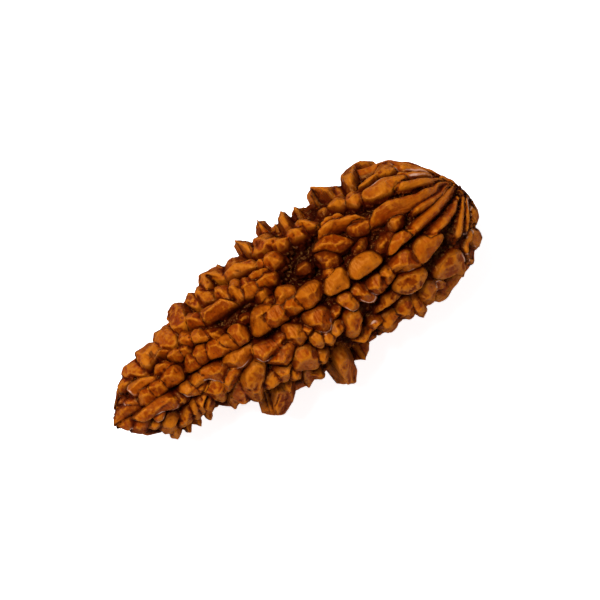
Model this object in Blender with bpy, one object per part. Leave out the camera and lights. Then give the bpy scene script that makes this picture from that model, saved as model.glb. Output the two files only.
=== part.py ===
"""A rudraksha seed: the dried stone of an Elaeocarpus fruit, one natural piece lying on its side.

The long axis runs along X, with the narrow tip at -X and the stem end at +X. A round core carries
rows of blunt knobs and teeth, which turn into pleated ribs that close on the pole of the stem end.
Stations are millimetres from the narrow tip. Turns are degrees round the long axis, from straight
up (+Z) towards -Y.
"""

import math
import random
from typing import NamedTuple

import bmesh
import bpy
from mathutils import Vector

MM = 0.001

# Driving dimensions, in millimetres
LENGTH = 46.0
AXIS_HEIGHT = 8.75
AXIS_SIDE = 1.1
ROOT_DEPTH = 1.1
CROWN_SHARE = 0.86
SHOULDER_SHARE = 0.72
STEEPEST_SLOPE = 1.6
SLOPE_STEP = 0.4
FACE_TURN = 12.5

# Radius over the knob tops at stations along the length
OUTER_PROFILE = (
    (0.0, 0.5), (0.9, 1.9), (2.4, 3.4), (3.9, 4.5), (5.2, 5.1), (8.3, 5.5), (10.0, 5.9),
    (11.7, 6.7), (13.8, 7.7), (16.0, 8.4), (20.4, 8.8), (24.8, 9.2), (27.0, 9.1), (31.4, 9.0),
    (36.0, 8.8), (38.0, 8.6), (40.2, 7.7), (42.4, 6.3), (43.6, 5.1), (44.7, 3.3), (45.6, 1.6), (46.0, 0.6),
)

# Height of the knobs over the valley floor at stations along the length
RISE_PROFILE = (
    (0.0, 0.2), (2.0, 1.1), (6.0, 1.7), (14.0, 2.2), (24.0, 2.4), (34.0, 2.2), (40.0, 1.5),
    (44.0, 0.9), (46.0, 0.3),
)

# How far the middle of each section lies below the straight axis, as the front face shows it
SWAY_PROFILE = (
    (0.0, 0.6), (2.0, 0.2), (6.0, 0.0), (11.0, -0.3), (16.0, 0.1), (24.0, 0.2), (30.0, -0.2),
    (40.0, 0.0), (42.4, 0.55), (44.5, 0.7), (46.0, 0.8),
)

SEAM_COUNT = 11
SEAM_TURN = 17.0
SEAM_DEPTH = 0.45
CORE_RINGS = 17

PIT_STATION, PIT_TURN, PIT_DEPTH = 27.2, -12.0, 1.8
PIT_LENGTH, PIT_WIDTH = 3.0, 15.0

HIDDEN_SEED = 41
SHAPE_SEED = 7


class Knob(NamedTuple):
    """A knob seen from the front face: its ends along the seed, and its edges across the axis."""

    start: float
    end: float
    low: float
    high: float
    lift: float = 1.0


class Rib(NamedTuple):
    """A pleat: stations along the seed with the crest's place across the axis and half width."""

    stations: tuple
    lift: float = 1.0


# The row above the straight seam that runs down the middle of the front face
SEAM_TOP_ROW = (
    Knob(0.5, 4.0, -1.2, 0.2), Knob(3.9, 7.0, -1.6, 0.2), Knob(6.6, 9.4, -2.9, -0.3),
    Knob(9.9, 12.7, -2.1, -0.1), Knob(12.8, 15.7, -1.9, 0.1), Knob(15.9, 17.9, -2.0, 0.5),
    Knob(18.2, 20.3, -2.0, 0.6), Knob(20.4, 22.2, -2.1, 0.7), Knob(22.3, 24.3, -2.5, 0.9),
    Knob(24.5, 27.0, -2.4, 1.0), Knob(27.2, 30.3, -0.9, 1.6), Knob(30.5, 34.3, -1.0, 1.8, 1.08),
)

# The row below that seam
SEAM_LOW_ROW = (
    Knob(0.4, 2.0, 0.6, 1.9), Knob(1.5, 3.7, 1.6, 3.1), Knob(2.6, 7.5, 0.8, 2.8),
    Knob(8.2, 10.3, 1.0, 3.2), Knob(10.4, 13.6, 1.0, 3.3), Knob(13.9, 17.0, 1.0, 2.9),
    Knob(17.2, 21.0, 1.7, 5.1, 1.1), Knob(21.2, 23.3, 1.8, 4.5), Knob(23.6, 26.2, 2.1, 4.7),
    Knob(27.0, 29.3, 2.3, 4.5), Knob(29.5, 31.6, 2.5, 4.9), Knob(31.7, 33.8, 2.5, 4.6),
    Knob(34.2, 37.2, 2.1, 4.0), Knob(37.2, 41.4, 1.8, 4.2),
)

# The next rows down, the last one on the lower edge of the outline
LOWER_ROW = (
    Knob(3.7, 6.0, 3.3, 5.4), Knob(5.9, 7.7, 3.3, 5.4), Knob(7.6, 9.9, 3.5, 5.7),
    Knob(10.5, 12.2, 3.4, 5.6), Knob(12.3, 13.9, 3.6, 6.2), Knob(14.0, 16.4, 3.3, 6.6, 1.05),
    Knob(16.6, 19.2, 5.2, 7.5), Knob(19.8, 22.6, 5.2, 8.0, 1.1), Knob(22.9, 25.6, 5.0, 6.9),
    Knob(25.9, 28.7, 4.9, 7.9, 1.1), Knob(29.2, 32.3, 5.1, 6.8), Knob(32.5, 36.8, 4.8, 6.8, 1.05),
    Knob(37.7, 42.0, 4.6, 7.0, 1.1),
)
EDGE_ROW = (
    Knob(11.0, 13.9, 5.8, 7.0), Knob(14.2, 16.6, 7.0, 8.4, 1.45), Knob(16.7, 18.6, 7.4, 8.7, 1.1),
    Knob(18.8, 21.2, 7.8, 8.9), Knob(22.2, 25.5, 7.4, 9.2, 1.75), Knob(25.6, 28.3, 8.2, 9.2, 1.2),
    Knob(29.0, 32.1, 7.2, 8.8), Knob(32.6, 35.2, 7.4, 8.9, 1.15), Knob(35.4, 37.5, 7.2, 8.6),
)

# The rows above the valley that borders the upper seam row, the last one on the upper edge
UPPER_ROW = (
    Knob(3.9, 6.5, -3.0, -1.7), Knob(6.4, 9.0, -3.3, -2.1), Knob(9.1, 11.2, -3.8, -2.1),
    Knob(11.1, 13.0, -4.6, -2.6), Knob(12.2, 14.6, -3.4, -1.9), Knob(14.6, 17.9, -5.9, -3.6),
    Knob(17.9, 19.7, -6.2, -4.0), Knob(19.6, 21.3, -5.9, -3.6), Knob(21.3, 23.6, -5.5, -3.6, 0.8),
    Knob(20.9, 22.2, -3.3, -2.3, 0.5), Knob(25.9, 27.2, -3.5, -2.4, 0.5),
    Knob(22.9, 26.0, -7.8, -4.6), Knob(26.0, 27.6, -7.2, -5.6, 0.9),
)
CREST_ROW = (
    Knob(2.2, 3.9, -3.9, -1.9), Knob(3.7, 6.1, -4.9, -2.9), Knob(6.1, 8.8, -5.2, -3.4),
    Knob(8.5, 10.8, -5.9, -3.8), Knob(10.9, 13.7, -7.2, -4.7), Knob(13.7, 15.8, -7.6, -5.2),
    Knob(15.9, 18.6, -8.2, -5.6), Knob(18.7, 21.4, -8.5, -5.9), Knob(21.1, 22.9, -8.6, -7.3, 1.2),
    Knob(23.9, 26.4, -8.9, -7.3, 1.45), Knob(26.7, 29.0, -8.8, -6.4), Knob(28.8, 30.4, -8.6, -7.3),
    Knob(30.6, 33.4, -8.8, -7.3, 1.45), Knob(33.4, 35.2, -8.3, -6.4), Knob(34.9, 40.2, -8.3, -6.9),
    Knob(35.2, 39.8, -6.7, -4.7),
)

# Ribs of the stem end that show on the front face
FRONT_RIBS = (
    Rib(((34.4, 0.9, 0.8), (37.5, 0.7, 0.75), (41.5, 0.1, 0.6), (45.3, -0.5, 0.3))),
    Rib(((39.6, 1.5, 0.6), (42.5, 1.2, 0.55), (45.2, 0.2, 0.3))),
    Rib(((28.9, -4.3, 0.7), (31.4, -4.9, 1.2), (34.0, -4.0, 1.0), (36.2, -3.0, 0.6)), 1.1),
    Rib(((29.2, -2.9, 0.7), (31.2, -3.0, 0.9), (33.4, -2.7, 0.6))),
    Rib(((35.2, -3.2, 0.7), (39.0, -3.0, 0.85), (42.6, -2.2, 0.6), (45.2, -0.9, 0.3)), 1.1),
    Rib(((36.6, -1.1, 0.5), (40.0, -1.3, 0.6), (43.0, -1.0, 0.45), (45.2, -0.6, 0.25))),
    Rib(((39.0, -4.6, 0.8), (42.0, -3.7, 0.65), (44.8, -1.4, 0.35))),
    Rib(((40.4, -5.9, 0.7), (42.8, -4.3, 0.55), (45.0, -1.8, 0.3))),
    Rib(((40.9, 4.2, 0.7), (43.2, 3.2, 0.6), (45.3, 1.2, 0.3))),
    Rib(((41.2, 5.9, 0.8), (43.3, 4.8, 0.7), (45.3, 2.4, 0.35)), 1.3),
    Rib(((37.6, 7.4, 0.9), (40.8, 6.9, 0.9), (43.4, 5.6, 0.6), (45.0, 3.4, 0.3)), 1.2),
)


def blend(profile, station):
    """The value of a profile at a station, eased between the two points beside it."""
    station = min(max(station, profile[0][0]), profile[-1][0])
    for (left, start), (right, end) in zip(profile, profile[1:]):
        if station <= right:
            share = (station - left) / (right - left)
            return start + (end - start) * share
    return profile[-1][1]


def pit_at(station, turn):
    """How deep the broad pit of the front face is at a place on the core."""
    along = (station - PIT_STATION) / PIT_LENGTH
    apart = (turn - PIT_TURN + 180.0) % 360.0 - 180.0
    return PIT_DEPTH * math.exp(-along * along - (apart / PIT_WIDTH) ** 2)


def core_radius(station, turn):
    """The radius of the valley floor, lower along each seam and in the pit."""
    from_seam = abs(math.cos(math.radians(0.5 * SEAM_COUNT * (turn - SEAM_TURN))))
    floor = knob_floor(station)
    groove = SEAM_DEPTH * from_seam * min(floor / 6.0, 1.0)
    return floor - groove - pit_at(station, turn)


def knob_floor(station):
    """The radius that knobs and ribs are measured from."""
    return blend(OUTER_PROFILE, station) - blend(RISE_PROFILE, station)


def radial(turn):
    """The unit vector that points out from the axis at a turn."""
    angle = math.radians(turn)
    return Vector((0.0, -math.sin(angle), math.cos(angle)))


def sideways(turn):
    """The unit vector along the circle at a turn."""
    angle = math.radians(turn)
    return Vector((0.0, -math.cos(angle), -math.sin(angle)))


def place(station, turn, radius):
    """The point of the seed, in metres, at a station, a turn and a radius."""
    middle = Vector((station - LENGTH / 2, AXIS_SIDE, AXIS_HEIGHT))
    middle += radial(FACE_TURN + 90.0) * blend(SWAY_PROFILE, station)
    return (middle + radial(turn) * radius) * MM


def face_turn(station, across):
    """The turn of a place that the front face shows this far below the axis."""
    share = (across - blend(SWAY_PROFILE, station)) / blend(OUTER_PROFILE, station)
    return FACE_TURN + math.degrees(math.asin(min(max(share, -0.985), 0.985)))


def outward(station, turn):
    """The core's normal, its direction along the seed, and the one across."""
    before, after = (blend(OUTER_PROFILE, station + step) for step in (-SLOPE_STEP, SLOPE_STEP))
    slope = (after - before) / (2 * SLOPE_STEP)
    slope = min(max(slope, -STEEPEST_SLOPE), STEEPEST_SLOPE)
    normal = (radial(turn) - Vector((slope, 0.0, 0.0))).normalized()
    across = sideways(turn)
    return normal, across.cross(normal), across


def mesh_from_rings(name, rings):
    """A closed mesh through rings of equally many points, whose last ring may be one point."""
    shape = bmesh.new()
    made = [[shape.verts.new(point) for point in ring] for ring in rings]
    for lower, upper in zip(made, made[1:]):
        for i in range(len(lower)):
            j = (i + 1) % len(lower)
            if len(upper) == 1:
                shape.faces.new((lower[i], lower[j], upper[0]))
            else:
                shape.faces.new((lower[i], lower[j], upper[j], upper[i]))
    shape.faces.new(made[0][::-1])
    if len(made[-1]) > 1:
        shape.faces.new(made[-1])
    bmesh.ops.recalc_face_normals(shape, faces=shape.faces)
    bmesh.ops.triangulate(shape, faces=shape.faces)
    mesh = bpy.data.meshes.new(name)
    shape.to_mesh(mesh)
    shape.free()
    return mesh


def build_core():
    """The round body that carries the knobs, with a shallow valley along every seam."""
    rings = []
    columns = 2 * SEAM_COUNT
    for i in range(CORE_RINGS):
        share = 0.5 - 0.5 * math.cos(math.pi * (i + 0.35) / (CORE_RINGS - 0.3))
        station = LENGTH * share
        turns = [SEAM_TURN + 360.0 * j / columns for j in range(columns)]
        rings.append([place(station, turn, core_radius(station, turn)) for turn in turns])
    return bpy.data.objects.new("seed", mesh_from_rings("seed", rings))


def knob_outline(length, width, draw):
    """The uneven five- or six-sided outline of a knob's foot, as places along and across."""
    corners = 5 if length < 1.5 * width else 6
    first = draw.uniform(0.0, math.tau)
    spots = []
    for i in range(corners):
        angle = first + math.tau * (i + draw.uniform(-0.18, 0.18)) / corners
        square = (abs(math.cos(angle)) ** 3 + abs(math.sin(angle)) ** 3) ** (-1 / 3)
        reach = 0.5 * square * draw.uniform(1.0, 1.14)
        spots.append((length * reach * math.cos(angle), width * reach * math.sin(angle)))
    return spots


def build_knob(station, turn, length, width, lift, draw):
    """A blunt knob: steep sides on an uneven outline, under a low crown with one peak."""
    normal, along, across = outward(station, turn)
    rise = blend(RISE_PROFILE, station) * lift
    foot = place(station, turn, knob_floor(station))
    spots = knob_outline(length, width, draw)
    slant_along, slant_across = draw.uniform(-0.18, 0.18), draw.uniform(-0.18, 0.18)


    def spot(along_foot, across_foot, height):
        return foot + (along * along_foot + across * across_foot + normal * height) * MM

    root = [spot(a, c, -ROOT_DEPTH) for a, c in spots]
    shoulder = SHOULDER_SHARE * rise
    crown = [
        spot(CROWN_SHARE * a, CROWN_SHARE * c, shoulder + slant_along * a + slant_across * c)
        for a, c in spots
    ]
    peak_along, peak_across = draw.uniform(-0.2, 0.2) * length, draw.uniform(-0.2, 0.2) * width
    return mesh_from_rings("knob", [root, crown, [spot(peak_along, peak_across, rise)]])


def build_rib(stations, lift):
    """A pleat with a rounded crest through stations of (station, turn, half width)."""
    rings = []
    for index, (station, turn, half) in enumerate(stations):
        normal, _, across = outward(station, turn)
        end = index in (0, len(stations) - 1)
        rise = blend(RISE_PROFILE, station) * lift * (0.55 if end else 1.0)
        foot = place(station, turn, knob_floor(station))
        depth = ROOT_DEPTH * min(knob_floor(station) / 3.0, 1.0)
        section = (
            (-half, -depth), (-half, 0.55 * rise), (-0.3 * half, rise),
            (0.4 * half, rise), (half, 0.5 * rise), (half, -depth),
        )
        rings.append([foot + (across * side + normal * high) * MM for side, high in section])
    return mesh_from_rings("rib", rings)


def front_knobs(draw):
    """The meshes of the knobs whose places are chosen one by one, on the front face."""
    rows = (SEAM_TOP_ROW, SEAM_LOW_ROW, LOWER_ROW, EDGE_ROW, UPPER_ROW, CREST_ROW)
    made = []
    for knob in (knob for row in rows for knob in row):
        station = (knob.start + knob.end) / 2
        low, high = (face_turn(station, edge) for edge in (knob.low, knob.high))
        radius = blend(OUTER_PROFILE, station)
        width = math.radians(high - low) * radius
        turn = (low + high) / 2
        lift = knob.lift * draw.uniform(0.94, 1.08)
        made.append(build_knob(station, turn, knob.end - knob.start, width, lift, draw))
    return made


def front_ribs():
    """The meshes of the ribs on the front face."""
    made = []
    for rib in FRONT_RIBS:
        stations = [(at, face_turn(at, across), half) for at, across, half in rib.stations]
        made.append(build_rib(stations, rib.lift))
    return made


# The far side: the first and last turn of its rows, and how they are spaced
HIDDEN_FIRST_TURN, HIDDEN_LAST_TURN = 93.0, 288.0
HIDDEN_ROWS = 13
TIP_END, RIBS_START = 8.0, 36.0
KNOB_PITCH = 3.0
TIP_PITCH = 2.5
KNOB_GAP = 0.25
STEM_RIB_END = 45.2

# The patch of knobs under the seed that reach the ground: its middle and half length in
# millimetres, how many degrees it reaches round, and how far the tips would pass the ground
REST_MIDDLE, REST_REACH = 26.0, 11.0
REST_SPREAD = 26.0
REST_BITE = 0.16


def hidden_turn(row):
    """The turn of a row of the far side."""
    return HIDDEN_FIRST_TURN + (HIDDEN_LAST_TURN - HIDDEN_FIRST_TURN) * row / (HIDDEN_ROWS - 1)


def resting_lift(station, turn, lift):
    """The lift that brings a knob under the seed down to the ground, or the lift that it has."""
    from_down = turn - 180.0
    if ((station - REST_MIDDLE) / REST_REACH) ** 2 + (from_down / REST_SPREAD) ** 2 > 1.0:
        return lift
    reach = (AXIS_HEIGHT + REST_BITE) / math.cos(math.radians(from_down))
    return (reach - knob_floor(station)) / blend(RISE_PROFILE, station)


def hidden_knobs(draw):
    """Rows of knobs round the far side, spaced by a rule with seeded draws."""
    made = []
    row_angle = (HIDDEN_LAST_TURN - HIDDEN_FIRST_TURN) / (HIDDEN_ROWS - 1)
    for row in range(HIDDEN_ROWS):
        station = TIP_END + draw.uniform(-0.4, 0.9)
        while station < RIBS_START - 0.6:
            length = KNOB_PITCH * draw.uniform(0.78, 1.3)
            middle = station + length / 2
            width = math.radians(row_angle) * blend(OUTER_PROFILE, middle) * draw.uniform(0.82, 1.04)
            turn = hidden_turn(row) + draw.uniform(-0.14, 0.14) * row_angle
            lift = resting_lift(middle, turn, draw.uniform(0.8, 1.15))
            made.append(build_knob(middle, turn, length - KNOB_GAP, width, lift, draw))
            station += length
    return made


def hidden_tip(draw):
    """Half as many rows of knobs round the far side of the narrow tip."""
    made = []
    rows = HIDDEN_ROWS // 2
    row_angle = (HIDDEN_LAST_TURN - HIDDEN_FIRST_TURN) / rows
    for row in range(rows + 1):
        station = 0.7 + draw.uniform(0.0, 0.8)
        while station < TIP_END - 0.8:
            length = min(TIP_PITCH * draw.uniform(0.8, 1.3), TIP_END + 0.6 - station)
            middle = station + length / 2
            width = math.radians(row_angle) * blend(OUTER_PROFILE, middle) * draw.uniform(0.78, 0.98)
            turn = HIDDEN_FIRST_TURN + row_angle * (row + draw.uniform(-0.12, 0.12))
            lift = draw.uniform(0.9, 1.1)
            made.append(build_knob(middle, turn, length - KNOB_GAP, width, lift, draw))
            station += length
    return made


def hidden_ribs(draw):
    """Ribs on the far side of the stem end, closing on its pole."""
    made = []
    row_angle = (HIDDEN_LAST_TURN - HIDDEN_FIRST_TURN) / (HIDDEN_ROWS - 1)
    for row in range(HIDDEN_ROWS):
        turn = hidden_turn(row)
        drift = draw.uniform(-0.2, 0.2) * row_angle
        end = STEM_RIB_END - draw.uniform(0.0, 0.4) - 1.2 * (row % 2)
        stations = []
        for share, spread in ((0.0, 0.75), (0.3, 1.0), (0.7, 0.9), (1.0, 0.7)):
            station = RIBS_START + (end - RIBS_START) * share
            half = 0.42 * spread * math.radians(row_angle) * blend(OUTER_PROFILE, station)
            stations.append((station, turn + drift * share, half))
        made.append(build_rib(stations, draw.uniform(0.9, 1.1)))
    return made


def fuse(core, meshes):
    """Joins the knobs and ribs to the core with one union, then removes them."""
    group = bpy.data.collections.new("knobs")
    bpy.context.scene.collection.children.link(group)
    for mesh in meshes:
        knob = bpy.data.objects.new("knob", mesh)
        group.objects.link(knob)
    union = core.modifiers.new("union", "BOOLEAN")
    union.operation = "UNION"
    union.operand_type = "COLLECTION"
    union.collection = group
    union.solver = "MANIFOLD"
    apply_modifiers(core)
    for knob in list(group.objects):
        bpy.data.objects.remove(knob)
    bpy.data.collections.remove(group)


def apply_modifiers(item):
    """Replaces an object's mesh by what its modifiers make of it."""
    bpy.context.view_layer.update()
    graph = bpy.context.evaluated_depsgraph_get()
    mesh = bpy.data.meshes.new_from_object(item.evaluated_get(graph))
    item.modifiers.clear()
    item.data = mesh


def keep_outer_shell(seed):
    """Drops the walls of any small hollow that the knobs closed off, which fills it."""
    shape = bmesh.new()
    shape.from_mesh(seed.data)
    reached = {min(shape.verts, key=lambda vert: vert.co.x)}
    waiting = list(reached)
    while waiting:
        vert = waiting.pop()
        near = {edge.other_vert(vert) for edge in vert.link_edges} - reached
        reached |= near
        waiting += near
    inner = [vert for vert in shape.verts if vert not in reached]
    bmesh.ops.delete(shape, geom=inner, context="VERTS")
    shape.to_mesh(seed.data)
    shape.free()


def level_underside(seed):
    """Cuts the lowest knob tips level with the ground, where the seed rests."""
    shape = bmesh.new()
    bmesh.ops.create_cube(shape, size=1.0)
    size = Vector((2 * LENGTH, 2 * LENGTH, LENGTH)) * MM
    bmesh.ops.scale(shape, vec=size, verts=shape.verts)
    bmesh.ops.translate(shape, vec=Vector((0.0, 0.0, -0.5 * size.z)), verts=shape.verts)
    mesh = bpy.data.meshes.new("ground")
    shape.to_mesh(mesh)
    shape.free()
    ground = bpy.data.objects.new("ground", mesh)
    ground.hide_render = True
    ground.display_type = "WIRE"
    bpy.context.scene.collection.objects.link(ground)
    cut = seed.modifiers.new("level", "BOOLEAN")
    cut.operation = "DIFFERENCE"
    cut.object = ground
    cut.solver = "MANIFOLD"
    apply_modifiers(seed)
    bpy.data.objects.remove(ground)


def seed_skin():
    """The oiled orange-brown of the hard stone."""
    skin = bpy.data.materials.new("seed_skin")
    skin.use_nodes = True
    shader = skin.node_tree.nodes["Principled BSDF"]
    shader.inputs["Base Color"].default_value = (0.30, 0.085, 0.016, 1.0)
    shader.inputs["Roughness"].default_value = 0.38
    shader.inputs["Metallic"].default_value = 0.0
    return skin


def main():
    for item in list(bpy.data.objects):
        bpy.data.objects.remove(item)
    seed = build_core()
    bpy.context.scene.collection.objects.link(seed)
    draw = random.Random(SHAPE_SEED)
    meshes = front_knobs(draw) + front_ribs()
    draw = random.Random(HIDDEN_SEED)
    meshes += hidden_knobs(draw) + hidden_tip(draw) + hidden_ribs(draw)
    fuse(seed, meshes)
    keep_outer_shell(seed)
    level_underside(seed)
    seed.data.materials.clear()
    seed.data.materials.append(seed_skin())


main()
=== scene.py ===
"""The looks of a rudraksha seed, built over its plain solid.

The seed lies along X, with the narrow tip at -X and the stem end at +X. Its skin is made in eleven
faces that meet at the seams, as on the real stone. Each face is a wedge of the round core with its
own knobs and pleats, fused into one closed skin, weathered, and painted by how deep it lies, with
painted shade on the knobs' sides, in creases and hollows, and painted highlights on edges and facets.
Stations are millimetres from the narrow tip. Turns are degrees round the long axis, from straight
up (+Z) towards -Y. The front face is described as the photograph shows it, by station and by the
distance across the axis. Pieces are modelled in millimetres and brought to metres at the end.
"""

import logging
import math
import random
from dataclasses import dataclass
from enum import Enum

import bpy
import numpy as np
from mathutils import Matrix, Vector


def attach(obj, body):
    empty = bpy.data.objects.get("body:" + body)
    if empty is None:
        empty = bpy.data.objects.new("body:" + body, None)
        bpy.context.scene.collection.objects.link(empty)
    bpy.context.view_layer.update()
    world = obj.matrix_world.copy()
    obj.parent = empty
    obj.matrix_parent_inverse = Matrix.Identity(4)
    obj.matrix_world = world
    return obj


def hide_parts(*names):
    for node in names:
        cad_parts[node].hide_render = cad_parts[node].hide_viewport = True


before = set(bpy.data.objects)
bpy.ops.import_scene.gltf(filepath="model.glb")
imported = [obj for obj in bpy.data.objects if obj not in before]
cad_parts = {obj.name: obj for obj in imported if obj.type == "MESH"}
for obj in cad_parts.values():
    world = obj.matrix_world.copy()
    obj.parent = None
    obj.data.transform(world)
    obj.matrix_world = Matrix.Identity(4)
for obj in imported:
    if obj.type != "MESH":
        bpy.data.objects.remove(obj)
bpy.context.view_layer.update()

LOG = logging.getLogger("seed")
MM = 0.001

# Driving dimensions, in millimetres, and the turn that the front face looks along
LENGTH = 46.0
AXIS_HEIGHT = 8.75
AXIS_SIDE = 1.1
FACE_TURN = 12.5

# Past this share of the outline a knob stands on the edge: it peaks at the crest's turn from the
# middle of the front face, and its outer side ends over the edge
SILHOUETTE_SHARE = 0.93
OVER_TURN, CREST_TURN = 98.0, 88.0

# Radius over the knob tops at stations along the length
OUTER_PROFILE = (
    (0.0, 0.5), (0.9, 1.9), (2.4, 3.4), (3.9, 4.5), (5.2, 5.1), (8.3, 5.5), (10.0, 5.9),
    (11.7, 6.5), (13.8, 7.2), (16.0, 8.1), (20.4, 8.8), (24.8, 9.1), (27.0, 9.1), (31.4, 9.0),
    (36.0, 8.8), (38.0, 8.5), (40.2, 7.8), (42.0, 6.9), (43.2, 5.7), (44.1, 4.6), (44.8, 3.6),
    (45.4, 2.7), (45.8, 1.8), (46.0, 0.6),
)
# Height of the knobs over the valley floor
RISE_PROFILE = (
    (0.0, 0.2), (2.0, 1.0), (6.0, 1.6), (14.0, 2.0), (22.0, 2.0), (34.0, 1.8), (40.0, 1.3),
    (44.0, 0.8), (46.0, 0.3),
)
# How far the middle of each section lies below the straight axis, as the front face shows it
SWAY_PROFILE = (
    (0.0, 0.4), (2.0, 0.2), (6.0, 0.0), (11.0, -0.3), (14.0, -0.2), (16.0, 0.1), (24.0, 0.2),
    (30.0, -0.2), (40.0, 0.0), (42.4, 0.25), (44.5, 0.4), (46.0, 0.8),
)

# The broad pit beside the suture; its width is in degrees
PIT_STATION, PIT_TURN, PIT_DEPTH = 27.2, -12.0, 1.6
PIT_LENGTH, PIT_WIDTH = 3.0, 15.0

# The groove along each seam
SEAM_DEPTH, SEAM_WIDTH = 0.4, 0.7

# The seams of the front face, as (station, across) from tip to stem
SUTURE = (
    (0.0, 0.4), (4.0, 0.45), (6.0, 0.4), (8.0, 0.6), (10.5, 0.2), (12.5, 0.3), (15.0, 0.5),
    (17.0, 0.85), (20.0, 0.95), (22.0, 1.05), (24.0, 1.25), (26.0, 1.5), (28.5, 1.85), (31.0, 2.1),
    (33.0, 2.0), (35.0, 1.7), (37.0, 1.25), (39.0, 0.9), (42.0, 0.45), (43.5, 0.1), (45.0, -0.5),
    (46.0, -0.5),
)
LOW_SEAM = (
    (0.0, 1.4), (3.0, 3.0), (7.0, 3.1), (9.0, 3.1), (12.0, 3.1), (14.0, 3.9), (16.0, 3.1),
    (17.2, 4.2), (18.5, 5.3), (20.0, 5.2), (21.5, 4.6), (23.0, 4.0), (25.0, 4.9), (27.0, 4.3),
    (28.5, 4.6), (30.5, 4.9), (33.5, 4.2), (37.3, 4.4), (40.0, 4.0), (41.5, 3.1), (43.0, 2.3),
    (44.5, 1.0), (46.0, 0.4),
)
HIGH_SEAM = (
    (0.0, -1.0), (3.0, -2.7), (6.0, -2.8), (8.5, -3.1), (9.6, -1.9), (11.0, -2.1), (13.0, -2.1),
    (15.0, -2.2), (17.0, -2.7), (19.0, -2.6), (21.0, -2.1), (22.5, -2.9), (25.0, -3.2),
    (28.0, -2.6), (31.0, -1.7), (33.0, -1.7), (35.0, -1.8), (38.0, -1.0), (41.0, -0.9),
    (43.0, -1.0), (45.0, -1.2), (46.0, -0.8),
)
TOP_SEAM = (
    (0.0, -1.5), (6.0, -4.4), (12.0, -5.4), (16.0, -5.8), (20.0, -6.4), (24.0, -6.8), (28.0, -6.2),
    (30.0, -6.6), (33.0, -6.4), (35.5, -5.3), (37.0, -4.6), (39.7, -4.1), (41.0, -3.6),
    (43.0, -2.9), (45.0, -1.9), (46.0, -1.1),
)
# The seams of the far side, as turns
FAR_SEAM_TURNS = (82.0, 114.0, 146.0, 179.0, 212.0, 245.0, 278.0)


class KnobForm(Enum):
    """The sorts of knob that the seed grows."""

    BUD = "bud"
    BLOCK = "block"
    ROOF = "roof"
    RIDGE = "ridge"
    EGG = "egg"


BUD, BLOCK, ROOF, RIDGE, EGG = KnobForm


@dataclass(frozen=True)
class Knob:
    """A knob seen from the front face, by points of (station, across).

    rim is the side with a pale rim, partly wear and partly a painted highlight, as (along, across), and tone
    makes it darker or lighter.
    """

    outline: tuple[tuple[float, float], ...]
    peak: tuple[float, float]
    form: KnobForm = BUD
    lift: float = 1.0
    rim: tuple[float, float] | None = None
    tone: float = 0.0


@dataclass(frozen=True)
class Rib:
    """A pleat through stations of (station, place across the axis, half width)."""

    stations: tuple[tuple[float, float, float], ...]
    lift: float = 1.0
    rim: float = 0.0


# Sides of a knob, as (along, across)
DOWN, TIPWARD, CORNER, UPWARD = (0.0, 1.0), (-1.0, 0.0), (-0.7, 0.7), (0.0, -1.0)

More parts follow.
